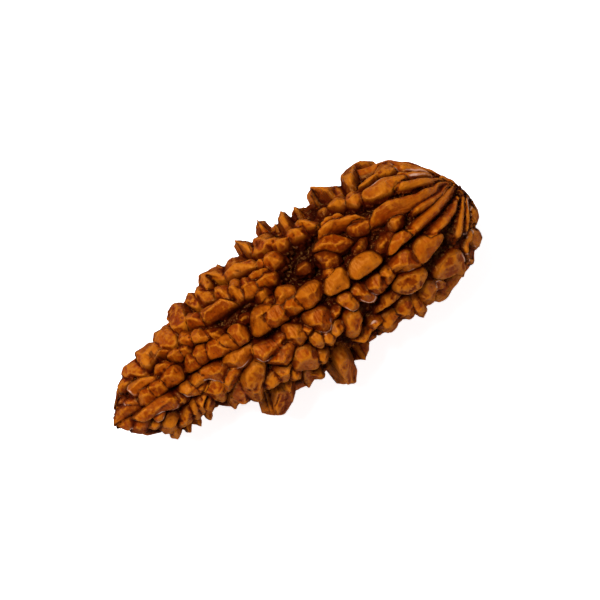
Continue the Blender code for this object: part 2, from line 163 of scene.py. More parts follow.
SEAM_TOP_ROW = (
    Knob(((0.1, 0.3), (0.6, -0.6), (1.2, -1.6), (2.0, -1.0), (3.3, -0.1), (3.3, 0.3)), (1.5, -0.4), RIDGE),
    Knob(((1.5, -1.7), (2.0, -2.1), (2.4, -1.9), (2.1, -1.4)), (2.0, -1.8), BUD, 0.7),
    Knob(((2.1, -1.2), (2.5, -1.5), (3.3, -0.9), (3.5, -0.3), (2.8, -0.6)), (2.8, -1.0), BUD, 0.8, TIPWARD),
    Knob(((3.4, -2.2), (3.6, -2.7), (4.1, -2.9), (5.5, -2.5), (6.5, -2.1), (6.4, -1.6), (4.9, -1.8),
          (4.2, -1.3), (3.7, -1.4)), (4.4, -2.2), RIDGE, 1.0, TIPWARD),
    Knob(((3.7, -0.1), (4.1, -1.0), (4.6, -1.5), (5.3, -1.2), (5.5, 0.2), (4.2, 0.25)), (4.6, -0.6)),
    Knob(((5.4, -1.1), (6.0, -1.3), (6.7, -1.3), (7.0, -0.8), (7.0, 0.0), (5.9, 0.2), (5.5, 0.1)),
         (6.3, -0.7)),
    Knob(((6.9, -2.3), (7.4, -2.9), (8.2, -2.8), (8.7, -2.2), (8.3, -1.8), (7.6, -2.0)), (7.8, -2.4)),
    Knob(((7.1, -1.2), (7.6, -1.7), (8.5, -1.9), (9.0, -1.4), (9.1, -0.6), (8.9, 0.15), (8.0, 0.1),
          (7.2, -0.1)), (8.3, -0.9)),
    Knob(((9.9, -0.4), (10.3, -1.2), (10.8, -1.8), (11.3, -1.5), (11.4, -0.7), (11.2, 0.0),
          (10.2, -0.1)), (10.9, -1.0)),
    Knob(((11.3, -1.4), (12.1, -2.0), (12.7, -1.9), (12.8, -1.2), (12.5, -0.3), (11.8, -0.1),
          (11.4, -0.6)), (12.2, -1.3)),
    Knob(((12.8, -0.6), (13.0, -1.2), (13.6, -1.7), (14.3, -1.6), (14.5, -1.0), (14.8, -0.3),
          (15.0, 0.3), (13.6, 0.2), (12.9, 0.0)), (13.9, -0.8), BLOCK),
    Knob(((14.4, -1.5), (15.0, -1.5), (15.8, -1.2), (16.0, -0.5), (15.9, 0.4), (15.1, 0.3),
          (14.8, -0.4)), (15.3, -0.7)),
    Knob(((15.9, -1.5), (16.3, -1.9), (16.9, -1.9), (17.5, -1.6), (17.7, -0.8), (17.6, 0.2),
          (17.3, 0.7), (16.2, 0.6), (16.0, -0.7)), (16.8, -0.7), EGG),
    Knob(((18.2, 0.3), (18.6, -0.8), (19.1, -1.6), (19.6, -2.0), (20.2, -2.0), (20.8, -1.7),
          (21.4, -1.2), (20.2, -0.9), (19.9, -0.2), (20.0, 0.6), (18.6, 0.7)), (19.5, -1.0)),
    Knob(((20.0, -0.6), (20.9, -1.0), (22.1, -1.0), (22.2, -0.4), (22.0, 0.4), (22.0, 0.9),
          (20.6, 0.8), (20.1, 0.1)), (21.1, -0.2), BLOCK),
    Knob(((22.0, -1.2), (22.5, -1.7), (22.7, -2.4), (23.1, -2.7), (23.8, -2.3), (24.3, -1.8),
          (24.2, -1.1), (23.4, -0.9), (22.6, -0.8)), (23.2, -1.7)),
    Knob(((22.4, -0.6), (23.2, -0.9), (23.8, -0.7), (24.2, 0.0), (24.1, 0.9), (23.2, 0.9),
          (22.5, 0.5), (22.3, 0.0)), (23.2, 0.0)),
    Knob(((24.2, -0.6), (25.0, -0.9), (25.9, -1.0), (26.6, -0.8), (26.9, -0.2), (26.6, 0.4),
          (26.0, 1.0), (25.2, 1.2), (24.5, 1.0), (24.1, 0.2)), (25.3, 0.1)),
    Knob(((27.1, 0.9), (27.4, 0.2), (27.9, -0.4), (28.7, -0.7), (29.5, -0.8), (30.1, -0.5),
          (30.1, 0.3), (29.9, 1.2), (29.6, 1.8), (28.9, 1.7), (28.0, 1.6), (27.3, 1.5)),
         (28.6, 0.5), EGG, 1.05, None, 0.4),
    Knob(((30.3, 0.9), (30.5, 0.2), (31.0, -0.35), (32.0, -0.7), (33.0, -0.6), (33.7, -0.2),
          (34.1, 0.6), (34.2, 1.2), (33.9, 1.45), (33.0, 1.55), (32.0, 1.65), (31.0, 1.65), (30.5, 1.4)),
         (32.2, 0.5), EGG, 1.15, None, 0.4),
    Knob(((34.2, 0.0), (34.6, -0.4), (35.3, -0.8), (36.2, -0.9), (36.6, -0.6), (36.0, -0.2),
          (35.4, 0.1), (34.9, 0.5), (34.4, 0.4)), (35.2, -0.3), BUD, 0.65, None, -0.3),
    Knob(((32.1, -1.15), (32.7, -1.7), (33.3, -2.1), (33.8, -1.9), (33.5, -1.4), (32.9, -1.0)),
         (33.0, -1.5), BUD, 0.6, None, -0.4),
    Knob(((35.0, 1.2), (35.5, 0.5), (36.0, 0.0), (36.7, -0.3), (37.5, -0.3), (38.3, 0.1),
          (38.8, 0.4), (38.6, 0.9), (37.8, 1.0), (36.6, 1.1), (35.9, 1.4), (35.3, 1.5)),
         (36.9, 0.5), EGG),
    Knob(((36.9, -1.5), (37.2, -2.1), (38.0, -2.2), (38.5, -1.8), (38.0, -1.3), (37.3, -0.9),
          (36.9, -1.0)), (37.6, -1.6), BUD, 0.7),
    Knob(((28.0, -0.9), (28.4, -1.3), (29.0, -1.4), (29.3, -1.0), (29.0, -0.7), (28.3, -0.5)),
         (28.7, -1.0), BUD, 0.7),
)
SEAM_LOW_ROW = (
    Knob(((0.15, 0.55), (1.4, 0.5), (1.9, 0.7), (1.8, 1.4), (1.4, 1.9), (0.9, 1.9), (0.6, 1.4)),
         (1.2, 1.1), EGG, 1.0, DOWN),
    Knob(((0.9, 2.1), (1.5, 1.9), (2.3, 1.6), (3.4, 2.0), (3.5, 2.5), (2.6, 2.9), (1.6, 2.75),
          (1.1, 2.6)), (2.2, 2.2)),
    Knob(((2.3, 0.75), (3.5, 0.65), (5.6, 0.6), (6.4, 1.0), (7.0, 1.4), (7.3, 2.0), (6.8, 2.9),
          (6.0, 2.7), (5.3, 2.1), (4.2, 1.9), (3.2, 1.8), (2.6, 1.3)), (5.2, 1.4), RIDGE, 1.0, DOWN),
    Knob(((4.0, 2.2), (4.6, 2.0), (5.4, 2.3), (5.3, 2.8), (4.7, 3.1), (4.1, 2.9)),
         (4.7, 2.5), EGG, 0.9, DOWN),
    Knob(((2.9, 2.9), (3.6, 2.6), (4.2, 3.0), (4.1, 3.6), (3.6, 3.7), (3.2, 3.4)), (3.6, 3.2), BUD, 0.9),
    Knob(((7.2, 1.6), (7.6, 1.4), (8.1, 1.9), (8.3, 2.8), (7.9, 3.2), (7.2, 2.9)),
         (7.7, 2.3), BUD, 0.7, None, -0.5),
    Knob(((8.1, 1.4), (8.5, 0.95), (9.1, 1.0), (9.6, 1.6), (9.8, 2.3), (9.6, 3.0), (9.0, 2.7),
          (8.5, 2.2)), (9.0, 1.7), BUD, 1.0, CORNER),
    Knob(((9.7, 1.1), (10.2, 0.8), (10.9, 0.9), (11.0, 1.5), (10.6, 2.0), (9.9, 2.0), (9.6, 1.5)),
         (10.3, 1.3)),
    Knob(((9.8, 2.1), (10.6, 2.1), (10.9, 2.6), (10.4, 3.0), (9.8, 2.8)), (10.3, 2.5), BUD, 0.8),
    Knob(((10.9, 1.0), (11.3, 0.6), (12.0, 0.8), (12.9, 1.2), (13.5, 1.8), (13.5, 2.3),
          (12.9, 2.8), (12.5, 3.2), (12.2, 2.7), (11.6, 2.1), (11.0, 1.7)), (12.2, 1.6), BUD, 1.0, CORNER),
    Knob(((13.8, 1.3), (14.3, 0.7), (14.9, 0.9), (15.7, 1.2), (16.6, 1.0), (17.1, 1.3),
          (17.0, 2.0), (16.4, 2.5), (15.2, 2.8), (14.2, 2.5), (13.8, 2.0)), (15.0, 1.7), BUD, 1.0, DOWN),
    Knob(((17.1, 2.3), (17.4, 1.6), (18.0, 1.9), (18.7, 2.2), (19.4, 2.4), (19.9, 2.7),
          (19.7, 3.2), (19.2, 3.6), (18.5, 3.7), (17.9, 3.8), (17.4, 3.6), (17.1, 3.0)),
         (18.3, 2.8), BUD, 1.0, CORNER),
    Knob(((18.3, 3.8), (19.2, 3.6), (19.8, 3.5), (20.4, 3.6), (20.9, 3.6), (21.1, 4.1),
          (20.6, 4.6), (20.0, 5.1), (19.3, 5.4), (18.8, 5.2), (18.3, 4.8), (18.0, 4.2)),
         (19.4, 4.4), BUD, 1.05),
    Knob(((19.5, 2.6), (20.2, 2.3), (21.0, 2.4), (20.5, 2.9), (19.9, 3.3), (19.6, 3.1)),
         (20.2, 2.7), BUD, 0.7),
    Knob(((21.1, 2.4), (21.3, 1.7), (21.8, 1.9), (22.3, 2.4), (22.7, 2.8), (22.9, 3.2),
          (23.0, 3.7), (22.5, 4.1), (22.0, 4.4), (21.6, 4.4), (21.3, 3.9), (21.1, 3.1)), (21.9, 3.1)),
    Knob(((22.9, 3.0), (23.5, 3.2), (23.8, 3.5), (23.4, 3.9), (22.9, 3.9)), (23.3, 3.5), BUD, 0.8),
    Knob(((23.7, 2.3), (24.0, 1.9), (24.7, 2.1), (25.5, 2.2), (25.9, 2.7), (26.0, 3.5),
          (25.7, 4.4), (25.3, 4.9), (24.8, 4.8), (24.3, 4.4), (24.0, 3.6), (23.8, 3.0)),
         (24.9, 3.3), BUD, 1.0, DOWN),
    Knob(((26.2, 3.7), (26.9, 3.3), (27.5, 3.4), (27.2, 3.9), (26.6, 4.1), (26.2, 4.2)),
         (26.8, 3.7), BUD, 0.7),
    Knob(((27.6, 2.5), (28.0, 2.1), (28.8, 2.1), (29.3, 2.5), (29.4, 3.3), (29.5, 3.9),
          (29.4, 4.3), (28.9, 4.5), (28.5, 4.4), (28.2, 3.9), (27.8, 3.2)), (28.6, 3.0), EGG, 1.0, DOWN),
    Knob(((29.5, 2.7), (29.9, 2.4), (30.5, 2.5), (30.8, 3.1), (31.1, 3.7), (31.4, 4.5),
          (30.9, 4.8), (30.4, 4.6), (30.0, 4.0), (29.7, 3.4)), (30.4, 3.4), BUD, 1.0, DOWN),
    Knob(((31.3, 3.3), (31.8, 2.8), (32.3, 2.6), (32.9, 2.6), (33.1, 3.2), (33.0, 4.1),
          (32.4, 4.3), (31.6, 4.4), (31.4, 3.9)), (32.2, 3.4), BUD, 1.0, DOWN),
    Knob(((33.1, 2.7), (33.9, 2.4), (34.3, 2.8), (34.3, 3.6), (33.6, 4.0), (33.1, 4.0)),
         (33.7, 3.1), BUD, 1.0, DOWN),
    Knob(((34.4, 2.9), (34.8, 2.4), (35.4, 2.2), (36.2, 2.0), (36.8, 2.1), (37.1, 2.6),
          (37.2, 3.4), (37.3, 4.2), (36.5, 4.1), (35.5, 3.9), (35.0, 3.5), (34.5, 3.5)),
         (36.1, 3.0), BUD, 1.0, DOWN),
    Knob(((37.4, 2.8), (37.9, 2.0), (38.6, 1.6), (39.3, 1.65), (40.0, 2.0), (40.8, 2.3), (41.2, 2.6),
          (40.8, 3.1), (40.0, 3.5), (39.1, 3.8), (38.4, 4.1), (37.8, 4.3), (37.4, 4.1), (37.4, 3.5)),
         (38.9, 2.7), EGG, 1.0),
)
LOWER_ROW = (
    Knob(((4.0, 3.8), (4.6, 3.3), (5.3, 3.1), (6.0, 3.3), (6.1, 3.9), (5.6, 4.6), (5.5, 5.2),
          (5.1, 5.6), (4.5, 5.2), (4.2, 4.5)), (5.1, 4.2)),
    Knob(((5.6, 5.2), (6.0, 4.3), (6.8, 3.8), (7.5, 3.4), (7.8, 3.7), (7.7, 4.4), (7.2, 5.1),
          (6.6, 5.6), (6.0, 5.6)), (6.9, 4.4)),
    Knob(((7.2, 5.0), (7.8, 4.3), (8.1, 3.3), (8.7, 3.1), (8.6, 4.0), (8.4, 5.3), (8.0, 5.8),
          (7.6, 5.5)), (8.2, 4.4)),
    Knob(((8.5, 5.2), (8.7, 4.3), (9.1, 3.4), (9.9, 3.2), (10.1, 3.4), (9.4, 3.9), (8.9, 4.8),
          (8.7, 5.5)), (9.2, 3.9)),
    Knob(((8.8, 5.6), (9.0, 4.9), (9.5, 4.0), (10.1, 3.8), (10.2, 4.3), (9.6, 5.2), (9.1, 5.8)),
         (9.6, 4.6)),
    Knob(((10.3, 3.0), (11.2, 2.6), (12.0, 2.5), (12.2, 3.0), (12.0, 4.0), (11.7, 4.8),
          (11.4, 5.4), (11.0, 5.1), (10.6, 4.2), (10.3, 3.5)), (11.3, 3.7)),
    Knob(((11.6, 5.6), (12.0, 4.9), (12.5, 5.0), (12.7, 5.8), (12.6, 6.4), (11.9, 6.4)),
         (12.1, 6.2), BUD, 0.95),
    Knob(((12.2, 3.3), (12.8, 2.9), (13.7, 2.5), (14.4, 2.6), (14.5, 3.1), (13.9, 3.7),
          (13.2, 4.1), (12.4, 4.8), (12.1, 4.7), (12.1, 4.0)), (13.1, 3.4)),
    Knob(((12.5, 5.0), (13.0, 4.5), (13.5, 4.0), (14.0, 4.2), (13.9, 5.0), (13.8, 6.6),
          (13.2, 6.6), (12.7, 5.9)), (13.4, 6.35), BUD, 0.95),
    Knob(((14.1, 5.0), (14.4, 4.1), (15.1, 3.6), (16.0, 3.3), (16.7, 3.4), (17.1, 3.9),
          (16.8, 4.5), (16.1, 5.4), (15.5, 6.3), (15.0, 6.9), (14.3, 6.8), (13.9, 6.1)),
         (15.4, 5.0), BLOCK, 1.05),
    Knob(((16.1, 6.1), (16.5, 5.6), (17.3, 5.4), (17.9, 5.5), (17.9, 6.9), (17.0, 7.0), (16.3, 7.1)),
         (17.1, 6.2)),
    Knob(((18.0, 5.4), (18.6, 5.4), (19.3, 5.5), (19.5, 5.7), (19.1, 6.2), (18.6, 6.9), (18.0, 7.0)),
         (18.5, 6.1), BLOCK),
    Knob(((18.7, 6.9), (19.1, 6.3), (19.5, 6.0), (19.8, 6.3), (19.9, 7.0), (19.7, 7.8),
          (19.3, 7.6), (18.9, 7.4)), (19.4, 6.9)),
    Knob(((20.0, 6.3), (20.4, 5.4), (20.9, 4.9), (21.6, 4.7), (22.2, 5.2), (22.4, 5.9),
          (22.5, 6.5), (22.3, 7.3), (21.9, 7.9), (21.5, 7.6), (21.0, 7.2), (20.5, 6.9), (20.0, 6.8)),
         (21.3, 6.1), BLOCK, 1.05),
    Knob(((22.4, 7.0), (22.8, 6.3), (23.2, 6.3), (23.6, 6.5), (23.6, 7.1), (23.3, 7.8),
          (22.9, 8.0), (22.3, 7.9)), (23.0, 7.1)),
    Knob(((22.8, 4.6), (23.1, 4.1), (23.8, 3.9), (24.2, 4.3), (24.3, 5.0), (24.0, 5.6),
          (23.7, 6.0), (23.3, 5.9), (22.9, 5.2)), (23.5, 4.9), EGG),
    Knob(((24.3, 4.8), (24.9, 5.0), (25.3, 5.3), (25.3, 5.9), (24.9, 6.4), (24.4, 6.5),
          (24.1, 6.0), (24.2, 5.3)), (24.7, 5.7)),
    Knob(((25.3, 5.1), (25.6, 4.9), (26.2, 4.5), (26.6, 4.9), (26.5, 5.6), (25.9, 6.0),
          (25.4, 5.9)), (25.9, 5.3), BUD, 0.95),
    Knob(((27.2, 5.0), (27.5, 4.5), (28.2, 4.4), (28.8, 4.7), (28.7, 5.3), (28.4, 6.0),
          (28.2, 6.6), (27.8, 6.9), (27.1, 7.0), (26.7, 6.5), (27.0, 5.8)), (27.8, 5.6), BLOCK, 1.05),
    Knob(((26.9, 7.0), (27.6, 6.9), (28.4, 6.7), (29.0, 6.9), (28.9, 7.4), (28.4, 8.1),
          (27.8, 8.1), (27.3, 7.7)), (28.0, 7.4), BUD, 1.05),
    Knob(((28.9, 7.1), (29.6, 6.4), (30.3, 6.6), (30.7, 6.9), (30.2, 7.3), (29.7, 7.7),
          (29.1, 7.7)), (29.7, 7.0), BUD, 0.95, UPWARD),
    Knob(((30.1, 7.7), (30.5, 7.0), (31.3, 6.7), (32.1, 6.7), (32.4, 7.2), (32.1, 8.0),
          (31.6, 8.9), (31.0, 9.0), (30.5, 8.7), (30.1, 8.3)), (31.1, 7.6), BUD, 1.03),
    Knob(((30.5, 6.4), (31.2, 5.9), (31.8, 5.6), (32.2, 5.2), (33.0, 5.4), (33.5, 5.8),
          (33.6, 6.3), (32.6, 6.3), (31.6, 6.4), (30.8, 6.6)), (32.2, 5.8), BUD, 0.9, DOWN, -0.2),
    Knob(((33.5, 5.0), (33.8, 4.5), (34.4, 4.15), (35.4, 4.15), (36.4, 4.4), (37.3, 4.7), (37.5, 5.1),
          (37.1, 5.7), (36.4, 6.1), (35.7, 6.35), (34.9, 6.4), (34.2, 6.1), (33.7, 5.6)),
         (35.6, 5.6), EGG, 0.95, DOWN, -0.3),
    Knob(((38.0, 6.5), (38.3, 5.8), (38.9, 5.3), (39.8, 5.0), (40.7, 4.75), (41.5, 4.75),
          (41.9, 5.1), (41.8, 5.8), (41.5, 6.5), (41.1, 7.0), (40.2, 7.1), (39.3, 7.1), (38.5, 6.95)),
         (40.3, 5.9), EGG, 1.1, (0.6, 0.8), 0.1),
)
EDGE_ROW = (
    Knob(((4.2, 4.4), (5.1, 4.2), (5.9, 4.6), (5.8, 5.4), (5.0, 5.7), (4.3, 5.3)), (5.0, 5.6), EGG, 1.35),
    Knob(((5.8, 4.9), (6.5, 4.4), (7.1, 4.8), (7.1, 5.5), (6.5, 5.7), (5.8, 5.6)), (6.4, 5.65), EGG, 1.35),
    Knob(((7.1, 4.9), (7.8, 4.4), (8.5, 4.7), (8.5, 5.6), (7.9, 5.8), (7.1, 5.6)), (7.8, 5.7), EGG, 1.4),
    Knob(((8.5, 5.0), (9.0, 4.5), (9.7, 4.7), (9.7, 5.5), (9.1, 5.8), (8.5, 5.7)), (9.1, 5.7), EGG, 1.35),
    Knob(((14.1, 6.9), (15.2, 6.9), (16.4, 6.7), (17.3, 6.9), (17.9, 7.6), (17.0, 8.4), (16.3, 8.9),
          (14.9, 9.0), (14.2, 8.6)), (15.2, 9.3), BLOCK),
    Knob(((17.6, 7.2), (18.0, 7.0), (18.6, 7.2), (18.3, 7.9), (17.8, 8.2)), (18.0, 7.9), BUD, 0.9),
    Knob(((19.4, 8.4), (19.6, 7.9), (20.1, 7.2), (20.7, 7.0), (21.0, 7.3), (20.8, 8.4),
          (20.2, 8.8), (19.7, 9.0)), (20.0, 8.6)),
    Knob(((20.9, 7.6), (21.8, 7.9), (22.4, 8.1), (22.5, 8.8), (21.3, 8.7)), (21.8, 8.4), BUD, 1.0),
    Knob(((22.4, 8.1), (23.3, 8.0), (23.8, 7.6), (24.4, 7.4), (25.2, 7.5), (25.4, 8.2),
          (25.2, 9.4), (24.4, 9.6), (23.5, 9.7), (22.6, 9.5)), (23.8, 10.85), BLOCK),
    Knob(((25.5, 8.9), (25.8, 8.4), (26.5, 8.2), (27.2, 8.2), (27.9, 8.3), (28.1, 8.8),
          (27.7, 9.5), (27.0, 9.7), (26.0, 9.7)), (26.7, 9.4), BLOCK),
    Knob(((32.5, 6.8), (33.2, 6.5), (34.1, 6.6), (34.2, 7.4), (34.2, 8.9), (33.6, 9.1),
          (33.0, 8.6), (32.5, 7.8)), (33.4, 7.5)),
    Knob(((34.2, 7.0), (34.9, 6.8), (35.3, 7.1), (35.3, 7.9), (35.1, 8.8), (34.5, 9.4), (34.2, 9.2)),
         (34.6, 9.05), ROOF),
    Knob(((35.4, 7.6), (35.7, 6.9), (36.2, 6.4), (36.9, 6.2), (37.3, 6.6), (37.4, 7.1),
          (37.0, 7.9), (36.6, 8.7), (36.2, 9.0), (35.6, 9.0), (35.3, 8.5)), (36.3, 7.4)),
    Knob(((37.4, 7.0), (37.9, 6.6), (38.4, 6.9), (39.2, 7.2), (39.3, 7.7), (39.0, 8.3),
          (38.5, 8.5), (37.8, 8.2)), (38.5, 8.0), BUD, 1.0, UPWARD),
    Knob(((39.4, 7.5), (40.2, 7.35), (41.1, 7.3), (41.7, 6.9), (42.0, 7.5), (41.4, 8.1),
          (39.8, 8.1)), (40.6, 7.8)),
)
UPPER_ROW = (
    Knob(((11.0, -3.8), (11.2, -4.4), (11.6, -4.6), (12.0, -4.2), (12.2, -3.6), (12.1, -2.8),
          (11.6, -2.9), (11.0, -3.2)), (11.6, -3.7)),
    Knob(((12.2, -3.3), (12.4, -3.8), (13.0, -4.0), (13.6, -3.7), (13.9, -3.0), (13.9, -2.2),
          (13.5, -2.0), (12.8, -2.3), (12.2, -2.6)), (13.0, -3.0), EGG),
    Knob(((13.9, -3.3), (14.4, -3.0), (15.0, -2.4), (15.0, -1.7), (14.4, -1.6), (14.0, -2.2)),
         (14.4, -2.3), BUD, 0.85, None, -0.3),
    Knob(((9.0, -3.0), (9.5, -3.4), (10.1, -3.3), (10.4, -2.9), (10.3, -2.2), (9.8, -2.0),
          (9.5, -2.3)), (9.9, -2.8)),
    Knob(((10.4, -3.1), (10.9, -3.3), (11.3, -2.8), (11.2, -2.2), (10.6, -2.1)),
         (10.8, -2.7), BUD, 0.85, None, -0.2),
    Knob(((12.7, -5.8), (13.3, -6.0), (13.9, -5.6), (14.3, -5.2), (14.4, -4.2), (14.0, -3.9),
          (13.3, -4.3), (12.8, -4.6)), (13.5, -5.0)),
    Knob(((14.4, -4.2), (14.7, -5.3), (15.0, -5.6), (15.7, -5.5), (16.6, -5.4), (17.4, -4.8),
          (18.1, -4.0), (18.0, -3.7), (17.0, -3.8), (15.9, -4.0), (14.8, -3.8)),
         (15.9, -4.7), RIDGE, 1.0, None, -0.15),
    Knob(((16.9, -6.2), (17.2, -6.7), (17.6, -6.8), (18.2, -6.4), (18.6, -6.0), (18.5, -5.5),
          (18.0, -4.8), (17.5, -5.0), (17.1, -5.5)), (17.7, -5.9)),
    Knob(((18.5, -5.6), (18.9, -6.1), (19.2, -6.4), (19.6, -6.3), (19.8, -5.7), (19.7, -5.0),
          (19.5, -4.2), (19.1, -4.0), (18.6, -4.1), (18.4, -4.8)), (19.1, -5.3)),
    Knob(((20.1, -5.6), (20.4, -6.0), (20.9, -5.6), (21.1, -5.0), (21.3, -4.3), (20.9, -3.8),
          (20.2, -3.7), (19.7, -3.9), (19.8, -4.7)), (20.5, -4.8)),
    Knob(((21.2, -5.7), (21.9, -5.8), (22.6, -5.6), (23.2, -5.3), (22.9, -5.0), (22.3, -4.85),
          (21.6, -5.0), (21.2, -5.2)), (22.1, -5.3)),
    Knob(((21.5, -4.6), (22.2, -4.7), (22.8, -4.85), (23.4, -4.6), (23.5, -4.3), (23.2, -3.8),
          (23.0, -3.5), (22.5, -3.8), (21.6, -4.0)), (22.6, -4.3)),
    Knob(((20.8, -3.4), (21.3, -3.7), (21.8, -3.6), (21.8, -3.1), (21.4, -2.6), (20.9, -2.6),
          (20.7, -3.0)), (21.2, -3.2), BUD, 0.7, None, -0.1),
    Knob(((21.1, -2.3), (21.6, -2.6), (21.9, -2.2), (21.7, -1.8), (21.3, -1.8)),
         (21.5, -2.2), BUD, 0.5, None, -0.3),
    Knob(((17.6, -2.0), (18.1, -2.5), (18.6, -2.3), (18.7, -1.8), (18.2, -1.6), (17.8, -1.7)),
         (18.2, -2.1), BUD, 0.5, None, -0.5),
    Knob(((23.4, -6.6), (24.3, -6.7), (24.9, -6.3), (25.0, -5.5), (24.7, -5.1), (23.9, -5.0),
          (23.3, -5.3), (23.3, -6.0)), (24.1, -5.9)),
    Knob(((22.6, -6.6), (23.2, -6.9), (23.4, -6.2), (23.2, -5.6), (22.7, -5.9)), (23.0, -6.3), BUD, 0.9),
    Knob(((26.0, -3.2), (26.3, -3.8), (26.8, -3.7), (27.1, -3.2), (26.8, -2.6), (26.4, -2.8)),
         (26.5, -3.3), RIDGE, 0.5, None, -0.1),
    Knob(((28.6, -4.1), (29.4, -4.6), (30.2, -4.6), (31.0, -4.4), (31.5, -3.8), (32.1, -3.2),
          (32.3, -2.6), (31.7, -2.5), (30.9, -2.5), (30.3, -2.9), (29.8, -3.5), (29.2, -3.8)),
         (30.8, -3.6), BLOCK, 0.85, None, -0.15),
    Knob(((28.4, -3.6), (28.9, -3.4), (29.6, -3.1), (30.0, -2.4), (30.1, -1.8), (29.7, -1.2),
          (29.3, -1.0), (28.8, -1.1), (28.6, -1.6), (28.7, -2.2), (28.5, -2.8)),
         (29.3, -2.1), BUD, 0.65, None, -0.35),
    Knob(((33.0, -4.2), (33.8, -4.3), (34.5, -4.0), (35.1, -3.8), (35.4, -3.4), (35.0, -2.9),
          (34.4, -2.7), (33.6, -2.9), (33.0, -3.4)), (34.2, -3.6), BUD, 0.75, None, -0.2),
)
